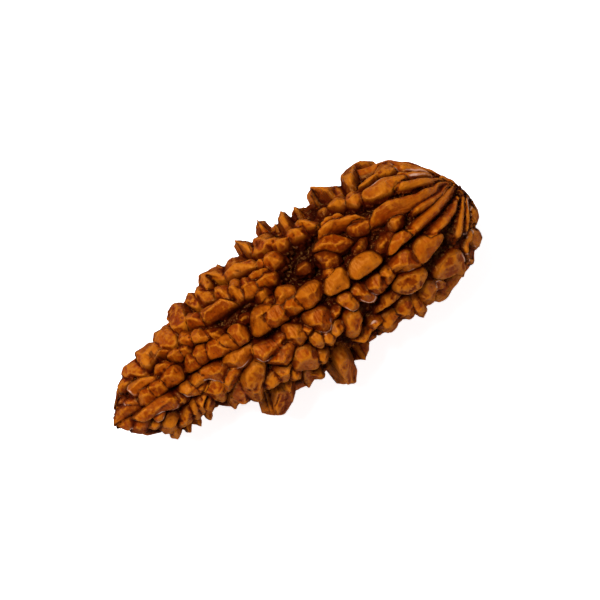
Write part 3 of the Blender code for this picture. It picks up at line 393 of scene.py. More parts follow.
CREST_ROW = (
    Knob(((2.0, -2.5), (2.5, -3.6), (3.3, -4.2), (3.7, -3.7), (3.8, -2.9), (2.6, -2.5)), (3.0, -3.1)),
    Knob(((3.5, -4.2), (3.9, -4.9), (4.6, -5.2), (5.6, -4.9), (6.0, -3.9), (6.0, -2.8),
          (5.0, -3.0), (4.5, -3.6), (3.8, -3.5)), (4.8, -4.8), BLOCK),
    Knob(((6.1, -4.6), (6.5, -5.3), (7.2, -5.3), (8.3, -5.1), (8.6, -4.1), (7.6, -3.8),
          (7.0, -3.4), (6.6, -3.1), (6.2, -3.5)), (6.9, -5.0), BLOCK),
    Knob(((8.0, -4.1), (8.6, -4.3), (9.3, -3.9), (9.7, -3.5), (9.1, -3.5), (8.3, -3.7)),
         (8.8, -3.9), BUD, 0.85),
    Knob(((8.4, -4.6), (8.6, -5.5), (9.0, -6.0), (9.4, -6.2), (10.0, -6.1), (10.9, -6.0),
          (10.9, -4.4), (10.4, -3.5), (10.2, -3.4), (9.4, -4.0), (8.7, -4.3)), (9.6, -5.95), BLOCK),
    Knob(((10.9, -4.6), (11.2, -5.8), (11.6, -6.9), (12.0, -7.4), (12.6, -7.1), (13.4, -6.9),
          (13.0, -6.0), (12.7, -5.0), (12.6, -4.4), (12.1, -4.4), (11.3, -4.6)), (12.1, -7.3), BLOCK),
    Knob(((13.6, -6.4), (13.8, -7.3), (14.4, -7.7), (14.9, -7.4), (15.0, -6.5), (15.0, -6.0),
          (14.7, -5.5), (14.4, -5.6), (13.9, -6.1)), (14.4, -7.5), BLOCK),
    Knob(((15.0, -7.4), (15.8, -7.8), (16.2, -7.6), (16.6, -6.0), (16.6, -5.5), (15.8, -5.7),
          (15.2, -6.0), (15.1, -6.4)), (15.7, -7.15)),
    Knob(((16.0, -7.4), (16.5, -8.2), (17.1, -8.6), (17.6, -8.5), (18.3, -8.2), (18.9, -7.2),
          (18.9, -6.6), (18.2, -6.6), (17.6, -7.0), (17.2, -6.8), (16.8, -6.7), (16.4, -6.4)),
         (17.2, -8.5), BLOCK),
    Knob(((18.2, -8.5), (18.8, -8.7), (19.4, -8.6), (19.3, -7.7), (19.1, -7.1), (18.8, -7.4)),
         (18.9, -8.4), BUD, 1.0, None, -0.2),
    Knob(((19.2, -7.9), (19.6, -8.6), (20.1, -8.8), (20.7, -8.6), (21.1, -8.3), (21.6, -7.4),
          (22.1, -6.8), (22.4, -6.2), (22.2, -5.8), (21.7, -6.1), (21.0, -6.3), (20.5, -6.4),
          (19.9, -6.5), (19.2, -6.6), (19.2, -7.2)), (20.5, -7.4)),
    Knob(((21.2, -8.2), (21.6, -9.0), (22.0, -9.4), (22.4, -9.1), (22.9, -8.6), (23.0, -7.9),
          (22.9, -7.2), (22.3, -7.3), (21.7, -7.7)), (22.0, -9.4), ROOF),
    Knob(((22.9, -7.9), (23.5, -8.6), (24.6, -8.8), (25.2, -8.7), (25.5, -7.6), (25.3, -6.8),
          (24.6, -6.9), (24.0, -6.8), (23.3, -6.9), (22.8, -7.2)), (24.2, -7.5), BLOCK, 0.9),
    Knob(((24.1, -8.3), (24.5, -9.2), (24.9, -9.8), (25.2, -10.0), (25.6, -9.7), (25.9, -9.1),
          (26.2, -8.7), (26.1, -8.1), (25.7, -7.9), (25.1, -8.2), (24.5, -8.3)), (25.2, -10.0), ROOF),
    Knob(((26.1, -8.4), (26.6, -8.9), (27.2, -8.9), (27.1, -8.2), (26.8, -7.9), (26.1, -7.9)), (26.6, -8.6)),
    Knob(((25.2, -8.0), (25.7, -7.8), (26.2, -7.6), (26.8, -7.5), (27.0, -7.0), (26.6, -6.6),
          (26.2, -6.2), (25.5, -6.3), (25.1, -6.9)), (25.9, -7.0), BUD, 0.9),
    Knob(((27.1, -7.9), (27.3, -8.8), (27.8, -9.3), (28.3, -9.0), (28.6, -8.6), (28.4, -8.1),
          (28.0, -7.8), (27.7, -7.6), (27.2, -7.6)), (27.85, -9.35), ROOF),
    Knob(((27.0, -7.3), (27.4, -7.6), (28.0, -7.6), (28.6, -7.1), (28.7, -6.5), (28.5, -6.0),
          (28.0, -6.1), (27.5, -6.3), (27.1, -6.7)), (27.9, -6.8)),
    Knob(((28.3, -7.7), (28.7, -8.2), (29.2, -7.8), (29.9, -7.1), (30.3, -6.6), (30.1, -6.0),
          (29.4, -6.3), (28.9, -6.8), (28.7, -7.2)), (29.3, -7.1), BUD, 1.0, UPWARD),
    Knob(((28.4, -8.7), (28.9, -9.2), (29.7, -9.2), (30.3, -8.8), (30.4, -8.3), (29.9, -8.0),
          (29.4, -8.1), (28.9, -8.3)), (29.4, -9.0), BLOCK, 1.0, None, -0.3),
    Knob(((30.8, -8.6), (31.3, -9.4), (32.0, -9.9), (32.6, -9.5), (33.2, -9.1), (33.7, -8.8),
          (33.9, -8.0), (33.3, -7.7), (32.6, -7.9), (32.0, -8.2), (31.3, -8.3)), (32.0, -9.85), ROOF),
    Knob(((31.3, -8.0), (32.0, -8.1), (32.5, -7.8), (32.3, -7.2), (31.7, -7.0), (31.3, -7.3)),
         (31.9, -7.6), BUD, 0.55, None, -0.3),
    Knob(((32.5, -7.4), (32.9, -7.8), (33.6, -7.9), (34.3, -7.6), (34.4, -7.0), (34.2, -6.5),
          (33.5, -6.4), (32.9, -6.8)), (33.6, -7.1), BUD, 0.9, None, 0.45),
    Knob(((33.6, -7.8), (33.9, -8.5), (34.1, -8.9), (34.9, -8.7), (34.9, -7.8), (34.5, -7.5),
          (34.0, -7.8)), (34.3, -8.5)),
    Knob(((34.5, -7.0), (34.9, -7.4), (35.5, -7.4), (35.9, -6.9), (36.1, -6.4), (35.7, -5.9),
          (35.1, -5.6), (34.7, -6.0), (34.5, -6.5)), (35.3, -6.5)),
    Knob(((35.1, -8.6), (35.6, -9.0), (36.3, -9.2), (37.1, -9.3), (38.0, -9.3), (38.6, -8.9),
          (39.2, -8.2), (39.8, -7.5), (38.6, -7.55), (37.5, -7.6), (36.8, -7.5), (36.0, -7.35),
          (35.4, -7.6)), (37.4, -9.3), EGG, 1.0, DOWN, -0.35),
    Knob(((36.0, -7.0), (37.0, -7.5), (38.5, -7.5), (39.6, -7.3), (40.4, -6.8), (41.0, -6.2),
          (40.3, -6.2), (39.2, -6.7), (38.0, -6.75), (36.8, -6.85)), (38.5, -7.1), EGG, 0.9, UPWARD, -0.3),
    Knob(((36.0, -6.2), (36.6, -6.65), (37.6, -6.6), (38.9, -6.5), (40.0, -6.0), (40.9, -5.4),
          (41.5, -4.9), (40.6, -4.9), (39.6, -4.7), (38.9, -4.5), (37.9, -4.7), (36.9, -5.0),
          (36.2, -5.5)), (38.2, -5.7), EGG, 1.0, UPWARD),
    Knob(((41.6, 6.6), (42.3, 5.9), (42.9, 5.6), (43.3, 6.1), (43.2, 7.2), (42.5, 7.6),
          (41.7, 7.6)), (42.4, 7.4), BLOCK, 1.0, UPWARD),
    Knob(((43.5, 4.6), (44.0, 3.9), (44.6, 3.5), (45.0, 3.8), (45.0, 5.0), (44.5, 6.0),
          (43.7, 6.0)), (44.1, 5.9), BLOCK, 1.0, UPWARD),
    Knob(((44.9, 2.6), (45.3, 1.9), (45.8, 1.6), (46.0, 2.2), (46.0, 3.2), (45.5, 3.6),
          (44.9, 3.6)), (45.3, 3.5), BLOCK, 1.0, UPWARD),
)
FRONT_RIBS = (
    Rib(((38.0, 0.55, 0.45), (39.2, 0.2, 0.5), (40.5, 0.0, 0.5), (42.0, -0.3, 0.5), (43.5, -0.8, 0.45),
         (44.6, -1.2, 0.35), (45.4, -1.4, 0.15)), 1.0),
    Rib(((39.5, -1.35, 0.3), (40.6, -1.4, 0.42), (42.0, -1.4, 0.42), (43.4, -1.45, 0.35),
         (45.0, -1.6, 0.15)), 0.9),
    Rib(((35.2, -3.0, 0.45), (36.3, -3.3, 0.7), (38.0, -3.15, 0.85), (39.4, -2.75, 0.75), (41.0, -2.4, 0.6),
         (43.0, -2.25, 0.45), (44.9, -2.1, 0.25)), 1.15),
    Rib(((29.6, -5.1, 0.4), (30.6, -5.2, 0.6), (32.0, -5.2, 0.6), (33.6, -4.7, 0.55),
         (35.2, -3.9, 0.35)), 1.1),
    Rib(((30.5, -6.0, 0.3), (31.4, -6.0, 0.4), (32.4, -5.9, 0.4), (33.4, -5.6, 0.25)), 0.85),
    Rib(((39.9, 1.9, 0.35), (41.2, 1.65, 0.45), (42.4, 1.35, 0.45), (43.5, 0.9, 0.4),
         (44.7, 0.1, 0.2)), 0.95),
    Rib(((39.6, -4.7, 0.3), (40.6, -4.55, 0.5), (42.0, -4.15, 0.55), (43.2, -3.55, 0.45),
         (44.4, -2.9, 0.25)), 1.05),
    Rib(((40.2, -6.2, 0.3), (41.4, -5.5, 0.4), (42.6, -4.9, 0.4), (43.8, -3.9, 0.3)), 1.0, 1.0),
    Rib(((40.2, -7.2, 0.35), (41.4, -6.4, 0.45), (42.6, -5.5, 0.4), (43.6, -4.5, 0.3)), 1.05, 0.6),
    Rib(((38.9, -8.7, 0.35), (40.2, -7.9, 0.4), (41.6, -7.0, 0.45), (42.8, -5.9, 0.45),
         (43.6, -5.0, 0.3)), 1.1),
    Rib(((44.2, -3.4, 0.3), (44.7, -2.9, 0.4), (45.1, -2.3, 0.35), (45.5, -1.5, 0.2)), 1.1),
    Rib(((42.0, 4.15, 0.35), (42.8, 3.5, 0.6), (43.6, 2.6, 0.5), (44.4, 1.6, 0.35), (45.2, 0.5, 0.2)), 1.05),
    Rib(((43.3, 4.2, 0.3), (44.2, 3.1, 0.4), (44.9, 1.9, 0.4), (45.6, 0.6, 0.2)), 1.1, 1.0),
    Rib(((44.4, 3.6, 0.3), (45.1, 2.9, 0.45), (45.7, 2.0, 0.35), (46.0, 1.2, 0.15)), 1.35, 0.8),
    Rib(((41.3, 6.9, 0.25), (42.1, 5.9, 0.35), (42.9, 5.1, 0.4), (43.9, 4.2, 0.3)), 1.05, 1.0),
    Rib(((41.9, 7.5, 0.35), (42.9, 6.6, 0.5), (43.9, 5.5, 0.5), (44.5, 4.3, 0.3)), 1.2, 0.5),
)


def blend(profile: tuple[tuple[float, float], ...], station: np.ndarray | float) -> np.ndarray:
    """Reads a profile, in straight lines between its points.

    Args:
        profile: pairs of (station, value), in order.
        station: where to read it, in millimetres from the tip.

    Returns:
        The values at the stations.
    """
    return np.interp(station, [at for at, _ in profile], [value for _, value in profile])


def deselect() -> None:
    """Leaves no object selected."""
    for item in list(bpy.context.selected_objects):
        item.select_set(False)


def select_only(item: bpy.types.Object) -> None:
    """Makes one object the selected and active one.

    Args:
        item: the object.
    """
    deselect()
    item.select_set(True)
    bpy.context.view_layer.objects.active = item


def apply_all(item: bpy.types.Object) -> None:
    """Applies an object's modifiers in their order.

    Args:
        item: the object.
    """
    select_only(item)
    for modifier in list(item.modifiers):
        bpy.ops.object.modifier_apply(modifier=modifier.name)


def take_out(item: bpy.types.Object) -> None:
    """Takes a master out of the scene, so that only its copies show.

    Args:
        item: the master.
    """
    for group in list(item.users_collection):
        group.objects.unlink(item)


def read_points(mesh: bpy.types.Mesh) -> np.ndarray:
    """Reads a mesh's points.

    Args:
        mesh: the mesh.

    Returns:
        Its points as rows of x, y and z.
    """
    points = np.empty(len(mesh.vertices) * 3, np.float32)
    mesh.vertices.foreach_get("co", points)
    return points.reshape(-1, 3).astype(np.float64)


def write_points(mesh: bpy.types.Mesh, points: np.ndarray) -> None:
    """Moves the mesh's points to rows of x, y and z."""
    mesh.vertices.foreach_set("co", points.astype(np.float32).ravel())
    mesh.update()


def copy_into_scene(master: bpy.types.Object, name: str) -> bpy.types.Object:
    """Copies a master into the scene.

    Args:
        master: the object to copy.
        name: the copy's name.

    Returns:
        The copy, with its own mesh.
    """
    item = bpy.data.objects.new(name, master.data.copy())
    bpy.context.scene.collection.objects.link(item)
    return item


class SeedForm:
    """The seed's round body, on which every knob and pleat is placed."""

    slope_step, steepest = 0.5, 1.1
    seam_step = 0.5
    whole_groove_floor = 6.0

    def __init__(self) -> None:
        """Reads the seams' turns, from the suture round to the top seam and back."""
        stations = np.arange(0.0, LENGTH + 0.01, self.seam_step)
        self.seam_stations = stations
        low, high, top = (
            np.array([self.face_turn(at, blend(seam, at)) for at in stations])
            for seam in (LOW_SEAM, HIGH_SEAM, TOP_SEAM)
        )
        first = np.array([self.face_turn(at, blend(SUTURE, at)) for at in stations])
        far = [np.full(len(stations), turn) for turn in FAR_SEAM_TURNS]
        self.seams = [first, low, *far, top + 360.0, high + 360.0]

    def floor(self, station: np.ndarray | float) -> np.ndarray:
        """The radius that knobs are measured from, in millimetres."""
        return blend(OUTER_PROFILE, station) - blend(RISE_PROFILE, station)

    def radial(self, turn: np.ndarray | float) -> np.ndarray:
        """Unit vectors that point out from the axis at a turn."""
        angle = np.radians(turn)
        return np.stack([np.zeros_like(angle), -np.sin(angle), np.cos(angle)], axis=-1)

    def middle(self, station: np.ndarray | float) -> np.ndarray:
        """Finds the middle of a section, which sways to and fro beside the straight axis.

        Args:
            station: the section's place along the seed.

        Returns:
            Its middle as x, y and z.
        """
        station = np.asarray(station, float)
        level = np.stack([
            station - LENGTH / 2, np.full_like(station, AXIS_SIDE), np.full_like(station, AXIS_HEIGHT)
        ], axis=-1)
        return level + self.radial(FACE_TURN + 90.0) * blend(SWAY_PROFILE, station)[..., None]

    def place(self, station: np.ndarray, turn: np.ndarray, radius: np.ndarray) -> np.ndarray:
        """Points at a station, a turn and a distance from the axis."""
        return self.middle(station) + self.radial(turn) * np.asarray(radius)[..., None]

    def read_place(self, points: np.ndarray) -> tuple[np.ndarray, np.ndarray, np.ndarray]:
        """Reads where points lie on the seed.

        Args:
            points: rows of x, y and z.

        Returns:
            Their station, turn and radius; the turns run from half a turn below the front face's
            to half a turn above it.
        """
        station = np.clip(points[:, 0] + LENGTH / 2, 0.0, LENGTH)
        away = points - self.middle(station)
        turn = np.degrees(np.arctan2(-away[:, 1], away[:, 2]))
        turn = (turn - FACE_TURN + 180.0) % 360.0 - 180.0 + FACE_TURN
        return station, turn, np.hypot(away[:, 1], away[:, 2])

    def share(self, station: float, across: float) -> float:
        """How far across the outline of the front face a place lies, from -1 to 1."""
        return float((across - blend(SWAY_PROFILE, station)) / blend(OUTER_PROFILE, station))

    def face_turn(self, station: float, across: float, over: float = OVER_TURN) -> float:
        """Turns a place seen on the front face into a turn round the axis.

        Args:
            station: the place along the seed.
            across: its distance across the axis.
            over: the turn from the middle of the face that a place on the outline gets.

        Returns:
            The turn in degrees.
        """
        share = self.share(station, across)
        if abs(share) > SILHOUETTE_SHARE:
            return FACE_TURN + math.copysign(over, share)
        return FACE_TURN + math.degrees(math.asin(share))

    def slope(self, station: float) -> float:
        """Measures how fast the outline widens.

        Args:
            station: the place along the seed.

        Returns:
            The change of radius for each millimetre, within the steepest slope.
        """
        sides = (-self.slope_step, self.slope_step)
        before, after = (blend(OUTER_PROFILE, station + side) for side in sides)
        return float(np.clip((after - before) / (2 * self.slope_step), -self.steepest, self.steepest))

    def seam_turn(self, number: int, station: np.ndarray | float) -> np.ndarray:
        """Reads where a seam runs.

        Args:
            number: the seam's number; one past the last comes round again.
            station: the places along the seed.

        Returns:
            The seam's turns there.
        """
        rounds, number = divmod(number, len(self.seams))
        return np.interp(station, self.seam_stations, self.seams[number]) + 360.0 * rounds

    def face_of(self, station: float, turn: float) -> int:
        """Finds the face that holds a place.

        Args:
            station: the place along the seed.
            turn: the place round it.

        Returns:
            The face's number.
        """
        first = self.seam_turn(0, station)
        turn = first + (turn - first) % 360.0
        return max(i for i in range(len(self.seams)) if self.seam_turn(i, station) <= turn)

    def core_radius(self, station: np.ndarray, turn: np.ndarray, from_seam: np.ndarray) -> np.ndarray:
        """The radius of the valley floor.

        Args:
            station: the places along the seed.
            turn: the places round it.
            from_seam: the distance to the nearest seam, in millimetres.

        Returns:
            The radius, lower near a seam and in the broad pit of the front face.
        """
        floor = self.floor(station)
        groove = SEAM_DEPTH * np.exp(-((from_seam / SEAM_WIDTH) ** 2))
        groove = groove * np.minimum(floor / self.whole_groove_floor, 1.0)
        along = (station - PIT_STATION) / PIT_LENGTH
        apart = ((turn - PIT_TURN + 180.0) % 360.0 - 180.0) / PIT_WIDTH
        return floor - groove - PIT_DEPTH * np.exp(-along * along - apart * apart)


FORM = SeedForm()


class Footprint:
    """A knob's footprint on the unrolled surface, in millimetres round the knob's peak."""

    steps, swell, egg_swell = 72, 0.20, 0.03
    least_reach, own_weight = 0.12, 6.0
    nearly_zero, corner_slack = 1e-9, 0.001

    def __init__(
        self, station: float, turn: float, corners: list[tuple[float, float]], form: KnobForm,
        lift: float, rim: tuple[float, float] | None = None, tone: float = 0.0, tooth: bool = False,
    ) -> None:
        """Measures how far the footprint reaches in every direction from the peak.

        Args:
            station: the peak's place along the seed.
            turn: the peak's place round it.
            corners: the outline as (along, around) from the peak.
            form: the sort of knob.
            lift: how high it stands, as a share of the rise there.
            rim: the side that has a pale rim, partly wear and partly a painted highlight.
            tone: how much lighter or darker than the others it is.
            tooth: whether it stands on the outline, as a tooth.
        """
        self.tooth = tooth
        self.station, self.turn, self.form, self.lift = station, turn, form, lift
        self.rim, self.tone = rim, tone
        self.radius = float(blend(OUTER_PROFILE, station))
        angles = np.arange(self.steps) * math.tau / self.steps
        ahead = np.stack([np.cos(angles), np.sin(angles)], axis=-1)
        start = np.array(corners)
        side = np.roll(start, -1, axis=0) - start
        cross = ahead[:, None, 0] * side[None, :, 1] - ahead[:, None, 1] * side[None, :, 0]
        cross = np.where(np.abs(cross) < self.nearly_zero, self.nearly_zero, cross)
        reach = (start[None, :, 0] * side[None, :, 1] - start[None, :, 1] * side[None, :, 0]) / cross
        share = (start[None, :, 0] * ahead[:, None, 1] - start[None, :, 1] * ahead[:, None, 0]) / cross
        hit = (reach > 0.0) & (share >= -self.corner_slack) & (share <= 1.0 + self.corner_slack)
        found = np.maximum(np.where(hit, reach, 0.0).max(axis=1), self.least_reach)
        beside = np.roll(found, 1) + self.own_weight * found + np.roll(found, -1)
        self.reaches = beside / (self.own_weight + 2.0)
        self.reaches += self.egg_swell if form == KnobForm.EGG else self.swell
        self.farthest = float(self.reaches.max())

    def reach(self, along: np.ndarray, around: np.ndarray) -> np.ndarray:
        """How far the outline is from the peak in the direction of each place."""
        turn = (np.arctan2(around, along) % math.tau) * self.steps / math.tau
        return np.interp(turn, np.arange(self.steps + 1), np.append(self.reaches, self.reaches[0]))

    def around(self, turn: np.ndarray) -> np.ndarray:
        """The distance round the seed from the peak to a turn."""
        return np.radians((turn - self.turn + 180.0) % 360.0 - 180.0) * self.radius


@dataclass(frozen=True)
class KnobPattern:
    """How a knob of one form is cut from a round block: its shoulder and its facets.

    Each facet is (place out from the middle, slope down), and ridged forms slope from a middle line.
    """

    shoulder: float
    facets: tuple[tuple[float, float], ...]
    ridge: tuple[float, float] | None = None


PATTERNS = {
    KnobForm.BUD: KnobPattern(0.08, ((0.0, 0.45), (0.04, 0.60), (0.08, 0.50), (0.2, 0.75), (0.5, 1.2))),
    KnobForm.BLOCK: KnobPattern(0.07, ((-0.4, 0.20), (0.4, 0.8), (0.35, 0.7), (0.55, 1.2), (0.6, 1.1))),
    KnobForm.ROOF: KnobPattern(0.08, ((0.5, 0.6), (0.55, 1.0)), (1.0, 0.0)),
    KnobForm.RIDGE: KnobPattern(0.08, ((0.55, 0.7), (0.6, 1.0)), (0.0, 1.0)),
    KnobForm.EGG: KnobPattern(0.30, ((0.05, 0.22), (0.12, 0.32), (0.3, 0.42), (0.5, 0.6))),
}


@dataclass(frozen=True)
class KnobProfile:
    """A knob's width at its foot, its lower side, its shoulder and its crown.

    The shares scale the outline, and the flares add to it, in millimetres.
    """

    shares: tuple[float, float, float, float]
    flares: tuple[float, float, float, float] = (0.22, 0.12, 0.0, 0.0)
    levels: tuple[float, float, float, float] = (0.0, 0.35, 0.72, 1.0)

    def widen(self, reach: np.ndarray, level: np.ndarray) -> np.ndarray:
        """The reach of the knob's side at a level, from 0 at its foot to 1 at its crown."""
        share = np.interp(level, self.levels, self.shares)
        return reach * share + np.interp(level, self.levels, self.flares)


PROFILES = {
    KnobForm.BUD: KnobProfile((1.20, 1.12, 1.00, 0.84)),
    KnobForm.BLOCK: KnobProfile((1.20, 1.12, 1.03, 0.97)),
    KnobForm.ROOF: KnobProfile((1.20, 1.12, 1.01, 0.92)),
    KnobForm.RIDGE: KnobProfile((1.20, 1.12, 1.01, 0.92)),
    KnobForm.EGG: KnobProfile((1.10, 1.07, 1.02, 0.95), (0.05, 0.0, 0.0, 0.0)),
}
POINTED_TOOTH = KnobProfile((1.30, 1.20, 0.98, 0.64), (0.1, 0.0, 0.0, 0.0))
BLUNT_TOOTH = KnobProfile((1.12, 1.04, 0.92, 0.78), (0.05, 0.0, 0.0, 0.0))


class KnobMasters:
    """The masters that every knob is copied from, three of each form."""

    variants = 3
    corners = 44
    root = -0.6
    bevel_steps = 4
    facet_jitter, facet_slopes = 0.25, (0.85, 1.2)
    ridge_out, ridge_slope, ridge_slopes = 0.05, 0.62, (0.9, 1.15)
    root_depth, peak_shift = 2.4, 0.75
    shape_seed = 19

    def __init__(self) -> None:
        """Models the masters."""
        draw = random.Random(self.shape_seed)
        self.masters = {
            form: [self.model(form, draw) for _ in range(self.variants)] for form in KnobForm
        }

    def model(self, form: KnobForm, draw: random.Random) -> bpy.types.Object:
        """Models one master, one unit in radius, with its foot at zero and its crown at one.

        Args:
            form: the sort of knob.
            draw: the seeded draws that turn its facets.

        Returns:
            The master, outside the scene.
        """
        pattern = PATTERNS[form]
        deselect()
        bpy.ops.mesh.primitive_cylinder_add(
            vertices=self.corners, radius=1.0, depth=1.0 - self.root, location=(0.0, 0.0, 0.0)
        )
        knob = bpy.context.active_object
        middle = (1.0 + self.root) / 2
        bpy.ops.object.mode_set(mode="EDIT")
        bpy.ops.transform.translate(value=(0.0, 0.0, middle))
        bpy.ops.mesh.select_mode(type="FACE")
        bpy.ops.mesh.select_all(action="DESELECT")
        bpy.ops.object.mode_set(mode="OBJECT")
        for face in knob.data.polygons:
            face.select = face.normal.z > 0.9
        bpy.ops.object.mode_set(mode="EDIT")
        bpy.ops.mesh.bevel(offset=pattern.shoulder, segments=self.bevel_steps, profile=0.5, affect="EDGES")
        start = draw.uniform(0.0, math.tau)
        for i, (out, slope) in enumerate(pattern.facets):
            turned = i + draw.uniform(-self.facet_jitter, self.facet_jitter)
            turn = start + math.tau * turned / len(pattern.facets)
            away = Vector((math.cos(turn), math.sin(turn), 0.0))
            self.cut(away, out, slope * draw.uniform(*self.facet_slopes))
        if pattern.ridge:
            for side in (1.0, -1.0):
                away = Vector((*pattern.ridge, 0.0)) * side
                self.cut(away, self.ridge_out, self.ridge_slope * draw.uniform(*self.ridge_slopes))
        bpy.ops.mesh.select_all(action="SELECT")
        bpy.ops.mesh.quads_convert_to_tris()
        bpy.ops.mesh.subdivide(number_cuts=1)
        bpy.ops.object.mode_set(mode="OBJECT")
        take_out(knob)
        return knob

    def cut(self, away: Vector, out: float, slope: float) -> None:
        """Cuts a facet off the crown.

        Args:
            away: the level direction that the facet faces.
            out: how far from the middle the facet leaves the crown's top.
            slope: how steeply it falls.
        """
        bpy.ops.mesh.select_all(action="SELECT")
        bpy.ops.mesh.bisect(
            plane_co=away * out + Vector((0.0, 0.0, 1.0)),
            plane_no=(away * slope + Vector((0.0, 0.0, 1.0))).normalized(),
            use_fill=True, clear_outer=True,
        )

    def lay(self, footprint: Footprint, draw: random.Random) -> bpy.types.Object:
        """Copies a master and fits it to a footprint.

        Args:
            footprint: the knob's place, outline and form.
            draw: the seeded draws that choose the master.

        Returns:
            The knob, with its own mesh, in place.
        """
        knob = copy_into_scene(draw.choice(self.masters[footprint.form]), "knob")
        points = read_points(knob.data)
        reach = footprint.reach(points[:, 0], points[:, 1])
        profile = PROFILES[footprint.form]
        if footprint.tooth:
            profile = BLUNT_TOOTH if footprint.form in (BLOCK, EGG) else POINTED_TOOTH
        spread = profile.widen(reach, points[:, 2])
        slope = FORM.slope(footprint.station)
        steep = math.atan(slope)
        rise = float(blend(RISE_PROFILE, footprint.station)) * footprint.lift * math.cos(steep)
        high = np.where(points[:, 2] > 0.0, points[:, 2] * rise, points[:, 2] * self.root_depth)
        station = footprint.station + points[:, 0] * spread + self.peak_shift * rise * math.sin(steep)
        turn = footprint.turn + np.degrees(points[:, 1] * spread / footprint.radius)
        placed = FORM.place(station, turn, FORM.floor(station))
        placed += FORM.radial(turn) * (high * math.cos(steep))[:, None]
        placed[:, 0] -= high * math.sin(steep)
        write_points(knob.data, placed)
        return knob


@dataclass(frozen=True)
class Pleat:
    """A pleat along places of (station, turn, half width)."""

    stations: tuple[float, ...]
    turns: tuple[float, ...]
    halves: tuple[float, ...]
    lift: float
    rim: float

    def read(self, station: np.ndarray) -> tuple[np.ndarray, np.ndarray]:
        """The pleat's turn and half width at stations."""
        return np.interp(station, self.stations, self.turns), np.interp(station, self.stations, self.halves)


class PleatMaster:
    """The long rounded strip that every pleat is bent from."""

    cuts = 23
    waves, skews = (1.6, 3.0), (-0.3, 0.3)
    end_slope, end_share = 5.0, 0.4
    crest_power, crest_wave, edge_height = 1.7, 0.1, 0.3
    root_depth, full_root_floor = 1.6, 3.0
    foot_spread, end_width, pole_shift = 1.06, 0.6, 0.5

    def __init__(self) -> None:
        """Models the strip, one unit long, one wide and one high."""
        deselect()
        bpy.ops.mesh.primitive_cube_add(size=1.0, location=(0.0, 0.0, 0.0))
        self.strip = bpy.context.active_object
        bpy.ops.object.mode_set(mode="EDIT")
        bpy.ops.mesh.select_all(action="SELECT")
        bpy.ops.mesh.subdivide(number_cuts=self.cuts)
        bpy.ops.object.mode_set(mode="OBJECT")
        take_out(self.strip)

    def lay(self, pleat: Pleat, draw: random.Random) -> bpy.types.Object:
        """Bends a copy of the strip along a pleat.

        Args:
            pleat: its path, widths and lift.
            draw: the seeded draws that wave its crest.

        Returns:
            The pleat's body, with its own mesh, in place.
        """
        strip = copy_into_scene(self.strip, "pleat")
        points = read_points(strip.data)
        wave, phase = draw.uniform(*self.waves), draw.uniform(0.0, math.tau)
        skew = draw.uniform(*self.skews)
        along = points[:, 0] + 0.5
        side = 2.0 * points[:, 1]
        high = points[:, 2] + 0.5
        marks = np.linspace(0.0, 1.0, len(pleat.stations))
        station, turn, half = (
            np.interp(along, marks, values) for values in (pleat.stations, pleat.turns, pleat.halves)
        )
        ends = np.clip(self.end_slope * np.minimum(along, 1.0 - along) + self.end_share, 0.0, 1.0)
        off_crest = np.abs(np.clip(side - skew * (1.0 - side * side), -1.0, 1.0))
        crest = 1.0 - off_crest ** self.crest_power
        rise = blend(RISE_PROFILE, station) * pleat.lift * ends
        rise = rise * (1.0 + self.crest_wave * np.sin(wave * math.tau * along + phase))
        depth = self.root_depth * np.minimum(FORM.floor(station) / self.full_root_floor, 1.0)
        height = self.edge_height + (1.0 - self.edge_height) * crest
        lifted = high * rise * height - (1.0 - high) * depth
        width = half * self.foot_spread * side * (self.end_width + (1.0 - self.end_width) * ends)
        turn = turn + np.degrees(width / blend(OUTER_PROFILE, station))
        steep = np.arctan([FORM.slope(at) for at in station])
        placed = FORM.place(station, turn, FORM.floor(station) + lifted * np.cos(steep) ** 2)
        placed[:, 0] -= lifted * np.sin(steep) * self.pole_shift
        write_points(strip.data, placed)
        return strip


